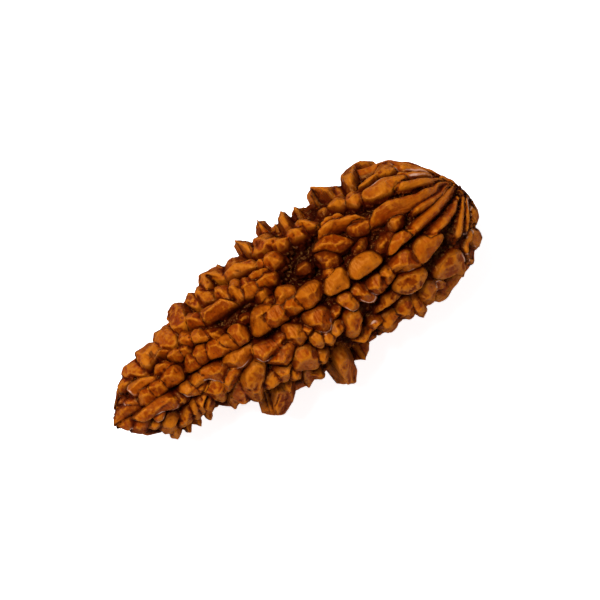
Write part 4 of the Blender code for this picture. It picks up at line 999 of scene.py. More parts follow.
class Layout:
    """Where every knob and pleat stands."""

    far_first_turn, far_last_turn, far_rows = 118.0, 280.8, 12
    far_lifts = {0: 0.75, 10: 0.75, 11: 0.5}
    rib_first_turn, rib_last_turn, rib_rows = 93.0, 288.0, 13
    tip_first_turn, tip_last_turn, tip_rows = 122.0, 263.0, 6
    tip_end, ribs_start = 8.0, 36.0
    knob_pitch, tip_pitch, gap = 3.0, 2.5, 0.25
    stem_rib_end, rib_spread = 45.2, 1.35
    front_lifts, lean_start, lean_over = (0.94, 1.08), 0.4, 0.5
    foot_lean = 0.35
    tongue, tongue_reach, edge_turns = 14.0, 1.6, (-5.0, 4.0)
    rest_middle, rest_reach, rest_spread, rest_bite = 26.0, 11.0, 26.0, 0.16
    far_seed, far_form_seed = 41, 5
    corner_jitter, corner_reaches = 0.22, (0.96, 1.12)
    square_share, round_share = 0.55, 0.45
    far_starts, far_lengths, far_widths = (-0.4, 0.9), (0.78, 1.3), (0.84, 1.14)
    far_jitter, far_heights = 0.22, (0.8, 1.15)
    tip_start, tip_lengths, tip_widths = 0.7, (0.8, 1.3), (0.82, 0.98)
    tip_jitter, row_over, tip_slack, even_heights = 0.12, 0.6, 0.8, (0.9, 1.1)
    rib_drift, rib_gap, short_rib = 0.2, 0.4, 1.2

    def front(self, draw: random.Random) -> list[Footprint]:
        """Unrolls the knobs of the front face, whose outlines are chosen one by one.

        Args:
            draw: the seeded draws that vary them.

        Returns:
            Their footprints.
        """
        rows = (SEAM_TOP_ROW, SEAM_LOW_ROW, LOWER_ROW, EDGE_ROW, UPPER_ROW, CREST_ROW)
        return [self.front_print(knob, draw) for row in rows for knob in row]

    def front_print(self, knob: Knob, draw: random.Random) -> Footprint:
        """Unrolls one knob of the front face.

        Args:
            knob: the knob as it is seen.
            draw: the seeded draws that vary its height.

        Returns:
            Its footprint; a knob with its peak on the outline reaches as far out as the peak.
        """
        station, across = knob.peak
        turn = FORM.face_turn(station, across, CREST_TURN)
        radius = float(blend(OUTER_PROFILE, station))
        lift = knob.lift * draw.uniform(*self.front_lifts)
        tooth = abs(FORM.share(station, across)) > SILHOUETTE_SHARE
        if tooth:
            reach = abs(across - float(blend(SWAY_PROFILE, station)))
            lift = (reach - float(FORM.floor(station))) / float(blend(RISE_PROFILE, station))
        sway = float(blend(SWAY_PROFILE, station))
        outward = (abs(FORM.share(station, across)) - self.lean_start) / self.lean_over
        lean = self.foot_lean * min(1.0, max(0.0, outward))
        foot = radius / (radius - lean * float(blend(RISE_PROFILE, station)))
        corners = []
        for at, edge in knob.outline:
            if abs(edge - sway) < abs(across - sway):
                edge = sway + (edge - sway) * foot
            near = max(0.0, 1.0 - abs(at - station) / self.tongue_reach)
            over = OVER_TURN + self.tongue * near + draw.uniform(*self.edge_turns)
            around = math.radians(FORM.face_turn(at, edge, over) - turn) * radius
            corners.append((at - station, around))
        return Footprint(station, turn, corners, knob.form, lift, knob.rim, knob.tone, tooth)

    def resting_lift(self, station: float, turn: float, lift: float) -> float:
        """Brings a knob under the middle of the seed down to the ground.

        Args:
            station: its place along the seed.
            turn: its place round it.
            lift: the lift that it has.

        Returns:
            Its new lift, or the old one where it stands elsewhere.
        """
        from_down = turn - 180.0
        from_middle = (station - self.rest_middle) / self.rest_reach
        if from_middle ** 2 + (from_down / self.rest_spread) ** 2 > 1.0:
            return lift
        reach = (AXIS_HEIGHT + self.rest_bite) / math.cos(math.radians(from_down))
        return float((reach - FORM.floor(station)) / blend(RISE_PROFILE, station))

    def rounded_box(self, length: float, width: float, draw: random.Random) -> list[tuple[float, float]]:
        """Draws an uneven outline of six or seven corners.

        Args:
            length: its size along the seed.
            width: its size round it.
            draw: the seeded draws that set its corners.

        Returns:
            The corners as (along, around) from its middle.
        """
        count = draw.choice((6, 7))
        start = draw.uniform(0.0, math.tau)
        corners = []
        for i in range(count):
            angle = start + math.tau * (i + draw.uniform(-self.corner_jitter, self.corner_jitter)) / count
            square = 0.5 / max(abs(math.cos(angle)), abs(math.sin(angle)))
            out = self.square_share * square + self.round_share * 0.5
            out *= draw.uniform(*self.corner_reaches)
            corners.append((math.cos(angle) * out * length, math.sin(angle) * out * width))
        return corners

    def far(self, draw: random.Random) -> list[Footprint]:
        """Sets rows of knobs round the far side, spaced by a rule with seeded draws.

        Args:
            draw: the seeded draws that place them.

        Returns:
            Their footprints.
        """
        prints = []
        forms = random.Random(self.far_form_seed)
        kinds = (BUD, BUD, BUD, BLOCK, BLOCK, ROOF, RIDGE, EGG)
        row_angle = (self.far_last_turn - self.far_first_turn) / (self.far_rows - 1)
        for row in range(self.far_rows):
            station = self.tip_end + draw.uniform(*self.far_starts)
            while station < self.ribs_start - self.row_over:
                length = self.knob_pitch * draw.uniform(*self.far_lengths)
                middle = station + length / 2
                width = math.radians(row_angle) * blend(OUTER_PROFILE, middle)
                width = width * draw.uniform(*self.far_widths)
                aside = draw.uniform(-self.far_jitter, self.far_jitter)
                turn = self.far_first_turn + row_angle * (row + aside)
                share = self.far_lifts.get(row, 1.0)
                lift = self.resting_lift(middle, turn, share * draw.uniform(*self.far_heights))
                corners = self.rounded_box(length - self.gap, width, forms)
                prints.append(Footprint(middle, turn, corners, forms.choice(kinds), lift))
                station += length
        return prints

    def far_tip(self, draw: random.Random) -> list[Footprint]:
        """Sets fewer rows of knobs round the far side of the narrow tip.

        Args:
            draw: the seeded draws that place them.

        Returns:
            Their footprints.
        """
        prints = []
        forms = random.Random(self.far_form_seed + 1)
        row_angle = (self.tip_last_turn - self.tip_first_turn) / (self.tip_rows - 1)
        for row in range(self.tip_rows):
            station = self.tip_start + draw.uniform(0.0, self.tip_slack)
            while station < self.tip_end - self.tip_slack:
                room = self.tip_end + self.row_over - station
                length = min(self.tip_pitch * draw.uniform(*self.tip_lengths), room)
                middle = station + length / 2
                width = math.radians(row_angle) * blend(OUTER_PROFILE, middle)
                width = width * draw.uniform(*self.tip_widths)
                aside = draw.uniform(-self.tip_jitter, self.tip_jitter)
                turn = self.tip_first_turn + row_angle * (row + aside)
                corners = self.rounded_box(length - self.gap, width, forms)
                prints.append(Footprint(middle, turn, corners, BUD, draw.uniform(*self.even_heights)))
                station += length
        return prints

    def front_pleats(self) -> list[Pleat]:
        """Turns the pleats of the front face into places round the seed.

        Returns:
            The pleats.
        """
        made = []
        for rib in FRONT_RIBS:
            stations = tuple(at for at, _, _ in rib.stations)
            turns = tuple(FORM.face_turn(at, across, CREST_TURN) for at, across, _ in rib.stations)
            halves = tuple(self.rib_spread * half for _, _, half in rib.stations)
            made.append(Pleat(stations, turns, halves, rib.lift, rib.rim))
        return made

    def far_pleats(self, draw: random.Random) -> list[Pleat]:
        """Sets the pleats of the far side, which close on the stem end's pole.

        Args:
            draw: the seeded draws that vary them.

        Returns:
            The pleats.
        """
        made = []
        row_angle = (self.rib_last_turn - self.rib_first_turn) / (self.rib_rows - 1)
        for row in range(self.rib_rows):
            drift = draw.uniform(-self.rib_drift, self.rib_drift) * row_angle
            end = self.stem_rib_end - draw.uniform(0.0, self.rib_gap) - self.short_rib * (row % 2)
            shares, spreads = np.array((0.0, 0.3, 0.7, 1.0)), np.array((0.75, 1.0, 0.9, 0.7))
            stations = self.ribs_start + (end - self.ribs_start) * shares
            halves = 0.5 * spreads * math.radians(row_angle) * blend(OUTER_PROFILE, stations)
            turns = self.rib_first_turn + row_angle * row + drift * shares
            lift = draw.uniform(*self.even_heights)
            made.append(Pleat(tuple(stations), tuple(turns), tuple(halves), lift, 0.0))
        return made


class SeedFace:
    """One face of the seed between two seams, with its knobs and pleats, as one closed skin."""

    voxel = 0.115
    budget = 88000
    overlap = 0.10
    cuts = 39
    first_share, length_share = 0.03, 0.94
    inner_share, least_radius = 0.12, 0.6
    skin_depth, skin_share = 2.8, 0.45
    pleats_start, pleat_wear = 36.5, 0.5
    crumb_top = 0.25
    wear = (
        ("lumps", 1.3, 0.16, "outside"), ("wrinkles", 0.5, 0.07, "outside"),
        ("grain", 0.2, 0.035, "outside"), ("crumbs", 0.5, 0.75, "valley"),
    )

    def __init__(self, number: int) -> None:
        """Starts the face with its wedge of the core."""
        self.number = number
        self.parts = [self.model_wedge()]

    def model_wedge(self) -> bpy.types.Object:
        """Models the wedge of the core between this face's two seams.

        Returns:
            The wedge, which takes in the knobs when the face is fused.
        """
        deselect()
        bpy.ops.mesh.primitive_cube_add(size=1.0, location=(0.0, 0.0, 0.0))
        wedge = bpy.context.active_object
        wedge.name = f"seed_face_{self.number + 1:02d}"
        bpy.ops.object.mode_set(mode="EDIT")
        bpy.ops.mesh.select_all(action="SELECT")
        bpy.ops.mesh.subdivide(number_cuts=self.cuts)
        bpy.ops.object.mode_set(mode="OBJECT")
        points = read_points(wedge.data)
        along, side, high = points[:, 0] + 0.5, points[:, 1], points[:, 2] + 0.5
        round_end = math.pi * (self.first_share + self.length_share * along)
        station = LENGTH * (0.5 - 0.5 * np.cos(round_end))
        first, last = (FORM.seam_turn(self.number + i, station) for i in (0, 1))
        turn = first + (last - first) * (side + 0.5)
        from_seam = np.radians((last - first) * (0.5 - np.abs(side))) * FORM.floor(station)
        outer = FORM.core_radius(station, turn, from_seam)
        spill = np.degrees(self.overlap * 2.0 * side / np.maximum(outer, self.least_radius))
        radius = outer * (self.inner_share + (1.0 - self.inner_share) * high)
        write_points(wedge.data, FORM.place(station, turn + spill, radius))
        return wedge

    def add(self, part: bpy.types.Object) -> None:
        """Adds a knob or a pleat."""
        self.parts.append(part)

    def fuse(self) -> bpy.types.Object:
        """Joins the parts, closes them into one skin, weathers it and thins it to its budget.

        Returns:
            The face's skin.
        """
        deselect()
        for part in self.parts:
            part.select_set(True)
        skin = self.parts[0]
        bpy.context.view_layer.objects.active = skin
        bpy.ops.object.join()
        fuse = skin.modifiers.new("fuse", "REMESH")
        fuse.mode = "VOXEL"
        fuse.voxel_size = self.voxel
        fuse.use_smooth_shade = True
        apply_all(skin)
        self.weather(skin)
        before = len(skin.data.polygons)
        thin = skin.modifiers.new("thin", "DECIMATE")
        thin.ratio = min(1.0, self.budget / (2 * before))
        apply_all(skin)
        LOG.info("%s: %d faces thinned to %d", skin.name, before, len(skin.data.polygons))
        return skin

    def weather(self, skin: bpy.types.Object) -> None:
        """Softens the voxel steps and gives the outer skin its uneven, wrinkled surface.

        Args:
            skin: the fused skin.
        """
        points = read_points(skin.data)
        station, _, radius = FORM.read_place(points)
        floor = FORM.floor(station)
        outside = radius > np.maximum(floor - self.skin_depth, self.skin_share * floor)
        group = skin.vertex_groups.new(name="outside")
        pleated = station > self.pleats_start
        group.add(np.flatnonzero(outside & ~pleated).tolist(), 1.0, "REPLACE")
        group.add(np.flatnonzero(outside & pleated).tolist(), self.pleat_wear, "REPLACE")
        low = outside & (radius < floor + self.crumb_top)
        skin.vertex_groups.new(name="valley").add(np.flatnonzero(low).tolist(), 1.0, "REPLACE")
        soften = skin.modifiers.new("soften", "SMOOTH")
        soften.factor = 0.5
        soften.iterations = 1
        for name, scale, strength, where in self.wear:
            texture = bpy.data.textures.get(name) or bpy.data.textures.new(name, "CLOUDS")
            texture.noise_scale = scale
            texture.noise_depth = 1
            push = skin.modifiers.new(name, "DISPLACE")
            push.texture = texture
            push.strength = strength
            push.mid_level = 0.5
            push.texture_coords = "LOCAL"
            push.vertex_group = where
        apply_all(skin)
        skin.vertex_groups.clear()


class DepthPaint:
    """Stores on each point where it lies on its knob, how deep it is and how sharp."""

    # Teeth on the outline count at least this deep, so that the painted shade low down stays off their sides
    tooth_depth = 0.62
    tint_seed, pleat_tint_range = 77, (0.2, 0.8)
    facet_turns, along_waves, side_waves, side_phase = 40.0, 3.4, 3.1, 1.7
    reach_margin, rim_slope, rim_start, pleat_over = 1.0, 2.0, 0.9, 0.3
    narrow_step, even_step, wide_step = 4, 9, 32
    least_away = 0.01

    def __init__(self, prints: list[Footprint], pleats: list[Pleat]) -> None:
        """Keeps the layout and draws a tint for every knob and pleat.

        Args:
            prints: the footprints of all the knobs.
            pleats: all the pleats.
        """
        draw = random.Random(self.tint_seed)
        self.prints, self.pleats = prints, pleats
        self.tints = [draw.uniform(0.0, 1.0) for _ in prints]
        self.pleat_tints = [draw.uniform(*self.pleat_tint_range) for _ in pleats]

    def paint(self, skin: bpy.types.Object) -> None:
        """Writes the attributes that the finish reads: where each point lies and how its knob is tinted.

        Args:
            skin: the face's skin, in millimetres.
        """
        mesh = skin.data
        points = read_points(mesh)
        station, turn, radius = FORM.read_place(points)
        outer, rise = blend(OUTER_PROFILE, station), blend(RISE_PROFILE, station)
        inside, border, tint, tone, rim, aside, stands = self.read_layout(station, turn)
        depth = (radius - outer + rise) / rise
        self.store(mesh, "depth", np.where(stands, np.maximum(depth, self.tooth_depth), depth))
        # From these the finish paints shade in hollows and concave creases, highlights on convex edges, and
        # light and shade by facet
        wide, narrow, normals = self.hollow(mesh, points)
        found = {
            "inside": inside, "tint": tint, "tone": tone, "rim": rim, "hollow": wide, "edge": narrow,
            "facet": self.facet(normals, tint), "border": border,
        }
        for name, values in found.items():
            self.store(mesh, name, values)
        fibre = mesh.attributes.new("fibre", "FLOAT_VECTOR", "POINT")
        around = np.radians(turn) * outer
        on_pleat = np.isfinite(aside)
        first, second = np.where(on_pleat, aside, station), np.where(on_pleat, station, around)
        places = np.stack([first, second, radius], axis=-1).astype(np.float32)
        fibre.data.foreach_set("vector", places.ravel())

    def facet(self, normals: np.ndarray, tint: np.ndarray) -> np.ndarray:
        """Gives each facet painted light and shade of its own, by which way it faces.

        Args:
            normals: the points' even normals.
            tint: their knobs' tints.

        Returns:
            Shades from -1 to 1, even over a facet and different from knob to knob.
        """
        phase = tint * self.facet_turns
        lengthwise = np.sin(self.along_waves * normals[:, 0] + phase)
        crosswise = np.sin(self.side_waves * normals[:, 1] + self.side_phase * phase)
        return 0.5 * (lengthwise + crosswise)

    def store(self, mesh: bpy.types.Mesh, name: str, values: np.ndarray) -> None:
        """Writes one number for each point."""
        attribute = mesh.attributes.new(name, "FLOAT", "POINT")
        attribute.data.foreach_set("value", np.asarray(values).astype(np.float32))

    def read_layout(self, station: np.ndarray, turn: np.ndarray) -> tuple[np.ndarray, ...]:
        """Finds the knob or pleat that each point lies on.

        Args:
            station: the points' places along the seed.
            turn: their places round it.

        Returns:
            How far inside its outline each point is, how far it is from the next one, its tint,
            tone and rim, its place across its pleat, and whether it is on a tooth.
        """
        inside, second = np.full(len(station), -1.0), np.full(len(station), -1.0)
        tint, tone, rim = np.full(len(station), 0.5), np.zeros(len(station)), np.zeros(len(station))
        aside, stands = np.full(len(station), np.nan), np.zeros(len(station), bool)
        for knob, shade in zip(self.prints, self.tints):
            along = station - knob.station
            around = knob.around(turn)
            margin = knob.farthest + self.reach_margin
            near = np.flatnonzero((np.abs(along) < margin) & (np.abs(around) < margin))
            if not len(near):
                continue
            along, around = along[near], around[near]
            away = np.hypot(along, around)
            depth = knob.reach(along, around) - away
            second[near] = np.maximum(second[near], np.minimum(depth, inside[near]))
            best = depth > inside[near]
            chosen = near[best]
            inside[chosen], tint[chosen], tone[chosen] = depth[best], shade, knob.tone
            rim[chosen], stands[chosen] = 0.0, knob.tooth
            if knob.rim:
                side = along[best] * knob.rim[0] + around[best] * knob.rim[1]
                side = side / np.maximum(away[best], self.least_away)
                rim[chosen] = np.clip(side * self.rim_slope - self.rim_start, 0.0, 1.0)
        for pleat, shade in zip(self.pleats, self.pleat_tints):
            middle, half = pleat.read(station)
            around = np.radians((turn - middle + 180.0) % 360.0 - 180.0) * blend(OUTER_PROFILE, station)
            depth = half - np.abs(around)
            past = np.maximum(pleat.stations[0] - station, station - pleat.stations[-1])
            depth = np.minimum(depth, self.pleat_over - past)
            second = np.maximum(second, np.minimum(depth, inside))
            chosen = np.flatnonzero(depth > inside)
            inside[chosen], tint[chosen], tone[chosen] = depth[chosen], shade, 0.0
            rim[chosen] = pleat.rim * (around[chosen] > 0.0)
            aside[chosen], stands[chosen] = around[chosen], False
        return inside, inside - second, tint, tone, rim, aside, stands

    def hollow(self, mesh: bpy.types.Mesh, points: np.ndarray) -> tuple[np.ndarray, ...]:
        """Measures how each point lies against the skin round it.

        Args:
            mesh: the skin's mesh.
            points: its points.

        Returns:
            How far each point lies under a wide and under a narrow patch round it, and its normal
            averaged over a small patch.
        """
        edges = np.empty(len(mesh.edges) * 2, np.int32)
        mesh.edges.foreach_get("vertices", edges)
        a, b = edges[0::2], edges[1::2]
        normals = np.empty(len(points) * 3, np.float32)
        mesh.vertices.foreach_get("normal", normals)
        normals = normals.reshape(-1, 3)
        count = np.bincount(a, minlength=len(points)) + np.bincount(b, minlength=len(points))
        smooth = points.copy()
        even = normals.astype(np.float64)
        found = []
        for step in range(1, self.wide_step + 1):
            smooth = self.spread(smooth, a, b, count)
            if step <= self.even_step:
                even = self.spread(even, a, b, count)
            if step in (self.narrow_step, self.wide_step):
                found.append(((smooth - points) * normals).sum(1))
        narrow, wide = found
        return wide, narrow, even / np.linalg.norm(even, axis=1, keepdims=True)

    def spread(self, values: np.ndarray, a: np.ndarray, b: np.ndarray, count: np.ndarray) -> np.ndarray:
        """Averages each point's values with its neighbours'.

        Args:
            values: rows of values, one row for each point.
            a: the first point of each edge.
            b: the second point of each edge.
            count: how many neighbours each point has.

        Returns:
            The new rows.
        """
        total = np.empty_like(values)
        for k in range(values.shape[1]):
            total[:, k] = np.bincount(a, weights=values[b, k], minlength=len(values))
            total[:, k] += np.bincount(b, weights=values[a, k], minlength=len(values))
        return 0.5 * values + 0.5 * total / count[:, None]


@dataclass(frozen=True)
class OiledSkin:
    """The oiled skin of the stone: amber crowns, red-brown sides and near black valleys, with painted shade
    and painted highlights.
    """

    amber: tuple[float, float, float] = (0.264, 0.0430, 0.0005)
    brown: tuple[float, float, float] = (0.158, 0.0175, 0.0004)
    honey: tuple[float, float, float] = (0.335, 0.090, 0.0030)
    rust: tuple[float, float, float] = (0.100, 0.0105, 0.0006)
    umber: tuple[float, float, float] = (0.046, 0.0034, 0.0003)
    soot_and_shade: tuple[float, float, float] = (0.013, 0.0010, 0.0004)
    fleck: tuple[float, float, float] = (0.052, 0.010, 0.002)
    glint: tuple[float, float, float] = (0.32, 0.20, 0.12)
    pale_rim_and_highlight: tuple[float, float, float] = (0.50, 0.29, 0.21)
    gloss_tint: tuple[float, float, float] = (1.0, 0.46, 0.10)
    gloss: float = 0.26
    roughness: tuple[float, float] = (0.26, 0.42)
    wrinkle_strength: float = 0.8
    wrinkle_depth: float = 0.00025
    fibre_scale: tuple[float, float, float] = (3.2, 0.8, 0.8)
    fibre_slant: float = 0.35

    def build(self) -> bpy.types.Material:
        """Makes the material from the points' attributes and fine noise.

        Returns:
            The material.
        """
        skin = bpy.data.materials.new("oiled_skin")
        skin.use_nodes = True
        tree = skin.node_tree
        shader = tree.nodes["Principled BSDF"]
        inside, border, depth, hollow, edge, tint, tone, rim, facet = (
            self.attribute(tree, name)
            for name in ("inside", "border", "depth", "hollow", "edge", "tint", "tone", "rim", "facet")
        )
        place = tree.nodes.new("ShaderNodeTexCoord").outputs["Object"]
        strand = self.strand(tree)
        mottle = self.noise(tree, place, 700.0, 4.0)
        fine = self.noise(tree, place, 3600.0, 3.0)
        patch = self.noise(tree, place, 330.0, 2.0)
        crown = self.mix(tree, self.ramp(tree, mottle, 0.25, 0.68), self.brown, self.amber)
        colour = self.cover(tree, crown, (
            (tint, 0.6, 1.0, self.honey, 0.35), (tint, 0.35, 0.0, self.brown, 0.6),
            (patch, 0.55, 0.25, self.rust, 0.3),
            # Painted light and shade: facets lighter or darker by which way they face
            (facet, 0.1, 1.1, self.honey, 0.6), (facet, 0.1, -1.1, self.rust, 0.6),
            (strand, 0.48, 0.26, self.rust, 0.3), (strand, 0.52, 0.76, self.honey, 0.3),
            (tone, 0.0, 0.8, self.honey, 1.0), (tone, 0.0, -0.7, self.umber, 1.0),
            # Painted highlight along convex edges
            (edge, -0.004, -0.036, self.honey, 0.9),
            # Painted shade: darker towards each knob's outline, lower down, in concave creases and in
            # hollows
            (inside, 0.26, 0.0, self.umber, 0.6), (depth, 0.68, 0.26, self.umber, 0.85),
            (edge, 0.004, 0.024, self.umber, 0.85),
            (hollow, -0.02, 0.10, self.umber, 0.65), (hollow, 0.10, 0.2, self.soot_and_shade, 0.9),
        ))
        ground = self.mix(tree, self.ramp(tree, mottle, 0.40, 0.66), self.soot_and_shade, self.umber)
        # Pale flecks, and painted glints in the valleys
        ground = self.cover(tree, ground, (
            (fine, 0.58, 0.72, self.fleck, 0.5), (fine, 0.74, 0.77, self.glint, 0.6),
        ))
        below = self.times(tree, self.ramp(tree, inside, -0.1, -0.3), self.ramp(tree, depth, 0.5, 0.25))
        colour = self.mix(tree, below, colour, ground, 0.95)
        # The deepest places darken towards near black: dark residue and painted shade
        colour = self.mix(tree, self.ramp(tree, depth, 0.05, -0.4), colour, self.soot_and_shade, 0.85)
        # Painted shade and dark residue in the thin creases between knobs
        crease = self.times(tree, self.ramp(tree, border, 0.16, 0.04), self.ramp(tree, inside, -0.6, -0.2))
        colour = self.mix(tree, crease, colour, self.soot_and_shade, 0.95)
        # A pale rim on the chosen side of some knobs and pleats, partly wear and partly a painted highlight
        inner, outer = self.ramp(tree, inside, 0.05, 0.09), self.ramp(tree, inside, 0.24, 0.16)
        near_rim = self.times(tree, inner, outer)
        rim_wear_and_highlight = self.times(tree, self.times(tree, rim, near_rim), self.ramp(tree, mottle, 0.42, 0.55))
        colour = self.mix(tree, rim_wear_and_highlight, colour, self.pale_rim_and_highlight, 0.85)
        tree.links.new(colour, shader.inputs["Base Color"])
        rough = tree.nodes.new("ShaderNodeMapRange")
        rough.inputs["To Min"].default_value, rough.inputs["To Max"].default_value = self.roughness
        tree.links.new(mottle, rough.inputs["Value"])
        tree.links.new(rough.outputs["Result"], shader.inputs["Roughness"])
        shader.inputs["Specular IOR Level"].default_value = self.gloss
        shader.inputs["Specular Tint"].default_value = (*self.gloss_tint, 1.0)
        self.bump(tree, shader)
        return skin

    def cover(
        self, tree: bpy.types.NodeTree, colour: bpy.types.NodeSocket, layers: tuple[tuple, ...]
    ) -> bpy.types.NodeSocket:
        """Lays colours over one another.

        Args:
            tree: the material's nodes.
            colour: the colour underneath.
            layers: for each layer the value that spreads it, where it starts and is whole, its
                colour, and the most that it covers.

        Returns:
            The colour on top.
        """
        for value, start, end, over, most in layers:
            colour = self.mix(tree, self.ramp(tree, value, start, end), colour, over, most)
        return colour

    def attribute(self, tree: bpy.types.NodeTree, name: str) -> bpy.types.NodeSocket:
        """Reads one of the points' attributes.

        Args:
            tree: the material's nodes.
            name: the attribute's name.

        Returns:
            Its value.
        """
        node = tree.nodes.new("ShaderNodeAttribute")
        node.attribute_name = name
        return node.outputs["Fac"]

    def strand(self, tree: bpy.types.NodeTree) -> bpy.types.NodeSocket:
        """Makes noise drawn out round the seed, like the fibres of the stone.

        Args:
            tree: the material's nodes.

        Returns:
            The noise's value.
        """
        node = tree.nodes.new("ShaderNodeAttribute")
        node.attribute_name = "fibre"
        stretch = tree.nodes.new("ShaderNodeMapping")
        stretch.inputs["Scale"].default_value = self.fibre_scale
        stretch.inputs["Rotation"].default_value = (0.0, 0.0, self.fibre_slant)
        tree.links.new(node.outputs["Vector"], stretch.inputs["Vector"])
        return self.noise(tree, stretch.outputs["Vector"], 1.0, 5.0)

    def noise(
        self, tree: bpy.types.NodeTree, place: bpy.types.NodeSocket, scale: float, detail: float
    ) -> bpy.types.NodeSocket:
        """Makes a noise texture.

        Args:
            tree: the material's nodes.
            place: where it is read.
            scale: how many of its bumps fit in a unit of length.
            detail: how many finer layers it has.

        Returns:
            The noise's value.
        """
        node = tree.nodes.new("ShaderNodeTexNoise")
        node.inputs["Scale"].default_value = scale
        node.inputs["Detail"].default_value = detail
        tree.links.new(place, node.inputs["Vector"])
        return node.outputs["Fac"]

    def ramp(
        self, tree: bpy.types.NodeTree, value: bpy.types.NodeSocket, start: float, end: float
    ) -> bpy.types.NodeSocket:
        """Turns a value between start and end into 0 to 1, smoothly.

        Args:
            tree: the material's nodes.
            value: the value.
            start: where the result is 0.
            end: where the result is 1; it may be the lower of the two.

        Returns:
            The result.
        """
        node = tree.nodes.new("ShaderNodeMapRange")
        node.interpolation_type = "SMOOTHSTEP"
        node.inputs["From Min"].default_value = min(start, end)
        node.inputs["From Max"].default_value = max(start, end)
        node.inputs["To Min"].default_value = 0.0 if start < end else 1.0
        node.inputs["To Max"].default_value = 1.0 if start < end else 0.0
        tree.links.new(value, node.inputs["Value"])
        return node.outputs["Result"]

    def times(
        self, tree: bpy.types.NodeTree, first: bpy.types.NodeSocket, second: bpy.types.NodeSocket | float
    ) -> bpy.types.NodeSocket:
        """Multiplies two values.

        Args:
            tree: the material's nodes.
            first: the one value.
            second: the other value, or a number.

        Returns:
            Their product.
        """
        node = tree.nodes.new("ShaderNodeMath")
        node.operation = "MULTIPLY"
        tree.links.new(first, node.inputs[0])
        if isinstance(second, float):
            node.inputs[1].default_value = second
        else:
            tree.links.new(second, node.inputs[1])
        return node.outputs["Value"]

    def mix(
        self, tree: bpy.types.NodeTree, share: bpy.types.NodeSocket, first: object, second: object,
        most: float = 1.0,
    ) -> bpy.types.NodeSocket:
        """Mixes two colours.

        Args:
            tree: the material's nodes.
            share: how much of the second colour shows, from 0 to 1.
            first: the colour underneath, as a socket or as red, green and blue.
            second: the colour on top, in either form.
            most: the most that the second colour covers.

        Returns:
            The mixed colour.
        """
        if most < 1.0:
            share = self.times(tree, share, most)
        node = tree.nodes.new("ShaderNodeMix")
        node.data_type = "RGBA"
        tree.links.new(share, node.inputs["Factor"])
        for name, colour in (("A", first), ("B", second)):
            socket = [s for s in node.inputs if s.name == name and s.type == "RGBA"][0]
            if isinstance(colour, tuple):
                socket.default_value = (*colour, 1.0)
            else:
                tree.links.new(colour, socket)
        return [s for s in node.outputs if s.type == "RGBA"][0]

    def bump(self, tree: bpy.types.NodeTree, shader: bpy.types.Node) -> None:
        """Gives the skin fine wrinkles along its fibres.

        Args:
            tree: the material's nodes.
            shader: the node that takes the wrinkles.
        """
        node = tree.nodes.new("ShaderNodeBump")
        node.inputs["Strength"].default_value = self.wrinkle_strength
        node.inputs["Distance"].default_value = self.wrinkle_depth
        tree.links.new(self.strand(tree), node.inputs["Height"])
        tree.links.new(node.outputs["Normal"], shader.inputs["Normal"])


class Seed:
    """The whole seed: its faces, laid out, fused and painted."""

    front_seed, master_seed = 7, 23

    def __init__(self) -> None:
        """Lays out the knobs and pleats."""
        self.layout = Layout()
        shapes = random.Random(self.front_seed)
        places = random.Random(self.layout.far_seed)
        self.prints = self.layout.front(shapes)
        self.prints += self.layout.far(places) + self.layout.far_tip(places)
        self.pleats = self.layout.front_pleats() + self.layout.far_pleats(places)

    def build(self) -> list[bpy.types.Object]:
        """Builds every face.

        Returns:
            The finished skins.
        """
        masters = KnobMasters()
        strip = PleatMaster()
        faces = [SeedFace(number) for number in range(len(FORM.seams))]
        draw = random.Random(self.master_seed)
        for knob in self.prints:
            faces[FORM.face_of(knob.station, knob.turn)].add(masters.lay(knob, draw))
        for pleat in self.pleats:
            middle = len(pleat.stations) // 2
            faces[FORM.face_of(pleat.stations[middle], pleat.turns[middle])].add(strip.lay(pleat, draw))
        paint = DepthPaint(self.prints, self.pleats)
        material = OiledSkin().build()
        return [self.finish(face.fuse(), paint, material) for face in faces]

    def finish(
        self, skin: bpy.types.Object, paint: DepthPaint, material: bpy.types.Material
    ) -> bpy.types.Object:
        """Levels, paints and scales a skin, hangs it on the root body and hides the plain seed part that it
        replaces.

        Args:
            skin: the fused skin, in millimetres.
            paint: the layout that it is painted from.
            material: its finish.

        Returns:
            The finished skin.
        """
        points = read_points(skin.data)
        points[:, 2] = np.maximum(points[:, 2], 0.0)
        write_points(skin.data, points)
        paint.paint(skin)
        skin.data.transform(Matrix.Scale(MM, 4))
        skin.data.materials.clear()
        skin.data.materials.append(material)
        skin.data.shade_smooth()
        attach(skin, "root")
        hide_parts("seed")
        LOG.info("%s: %d triangles", skin.name, len(skin.data.polygons))
        return skin


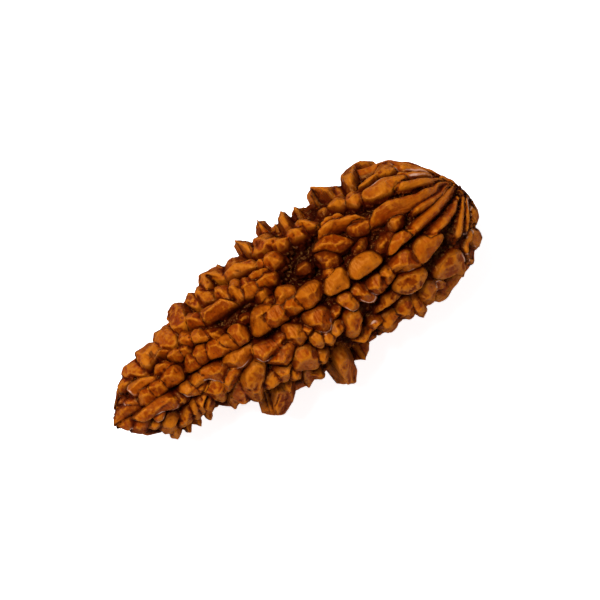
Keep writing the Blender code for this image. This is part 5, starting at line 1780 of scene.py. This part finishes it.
@dataclass(frozen=True)
class Studio:
    """The pale floor and the soft lights round it; the floor and the room's light are out of the seed's
    reflections.
    """

    floor_size: float = 4.0
    room_light: float = 0.21
    table_light: float = 0.72
    paper: tuple[float, float, float] = (0.89, 0.92, 0.95)
    paper_roughness: float = 0.95

    def build(self) -> None:
        """Makes the floor, the room's light and the lamps."""
        deselect()
        bpy.ops.mesh.primitive_plane_add(size=self.floor_size, location=(0.0, 0.0, 0.0))
        floor = bpy.context.active_object
        floor.name = "pale_floor"
        paper = bpy.data.materials.new("pale_paper")
        paper.use_nodes = True
        shader = paper.node_tree.nodes["Principled BSDF"]
        shader.inputs["Base Color"].default_value = (*self.paper, 1.0)
        shader.inputs["Roughness"].default_value = self.paper_roughness
        shader.inputs["Specular IOR Level"].default_value = 0.0
        shader.inputs["Emission Color"].default_value = (1.0, 1.0, 1.0, 1.0)
        shader.inputs["Emission Strength"].default_value = self.table_light
        floor.data.materials.append(paper)
        floor.visible_glossy = False
        world = bpy.data.worlds.new("soft_room")
        bpy.context.scene.world = world
        world.use_nodes = True
        world.node_tree.nodes["Background"].inputs["Color"].default_value = (1.0, 1.0, 1.0, 1.0)
        world.node_tree.nodes["Background"].inputs["Strength"].default_value = self.room_light
        world.cycles_visibility.glossy = False
        self.lamp("key", place=(-0.09, 0.13, 0.46), size=0.22, power=3.8)
        self.lamp("fill", place=(0.20, -0.26, 0.30), size=0.20, power=0.4)

    def lamp(self, name: str, place: tuple[float, float, float], size: float, power: float) -> None:
        """Hangs one square soft lamp that points at the seed.

        Args:
            name: the lamp's name.
            place: where it hangs, in metres.
            size: the length of its side, in metres.
            power: its strength, in watts.
        """
        lamp = bpy.data.lights.new(name, "AREA")
        lamp.size = size
        lamp.energy = power
        item = bpy.data.objects.new(name, lamp)
        item.location = place
        item.rotation_euler = (-Vector(place)).to_track_quat("-Z", "Y").to_euler()
        bpy.context.scene.collection.objects.link(item)


@dataclass(frozen=True)
class PhotoCamera:
    """The camera where the photograph was taken from: square to the front face, steeply above."""

    roll: float = 33.2
    distance: float = 0.6
    frame_width: float = 0.0655
    sensor: float = 36.0
    aim_station: float = 24.8
    aim_right: float = 3.66
    aim_down: float = -1.94
    frame_pixels: float = 600.0

    def build(self) -> None:
        """Makes the camera and sets it as the scene's."""
        back = Vector(FORM.radial(FACE_TURN))
        stemward = Vector((1.0, 0.0, 0.0))
        crestward = back.cross(stemward)
        roll = math.radians(self.roll)
        right = stemward * math.cos(roll) - crestward * math.sin(roll)
        up = stemward * math.sin(roll) + crestward * math.cos(roll)
        aim = Vector((self.aim_station - LENGTH / 2, AXIS_SIDE, AXIS_HEIGHT)) * MM
        camera = bpy.data.cameras.new("photo_camera")
        camera.sensor_width = self.sensor
        camera.lens = self.sensor * self.distance / self.frame_width
        camera.shift_x = -self.aim_right / self.frame_pixels
        camera.shift_y = self.aim_down / self.frame_pixels
        camera.clip_start = 0.01
        item = bpy.data.objects.new("photo_camera", camera)
        turned = Matrix((right, up, back)).transposed().to_4x4()
        item.matrix_world = Matrix.Translation(aim + back * self.distance) @ turned
        bpy.context.scene.collection.objects.link(item)
        bpy.context.scene.camera = item


def main() -> None:
    """Builds the camera, the studio and the seed."""
    logging.basicConfig(level=logging.INFO)
    bpy.context.scene.view_settings.view_transform = "Standard"
    PhotoCamera().build()
    Studio().build()
    Seed().build()


if __name__ == "__main__":
    main()
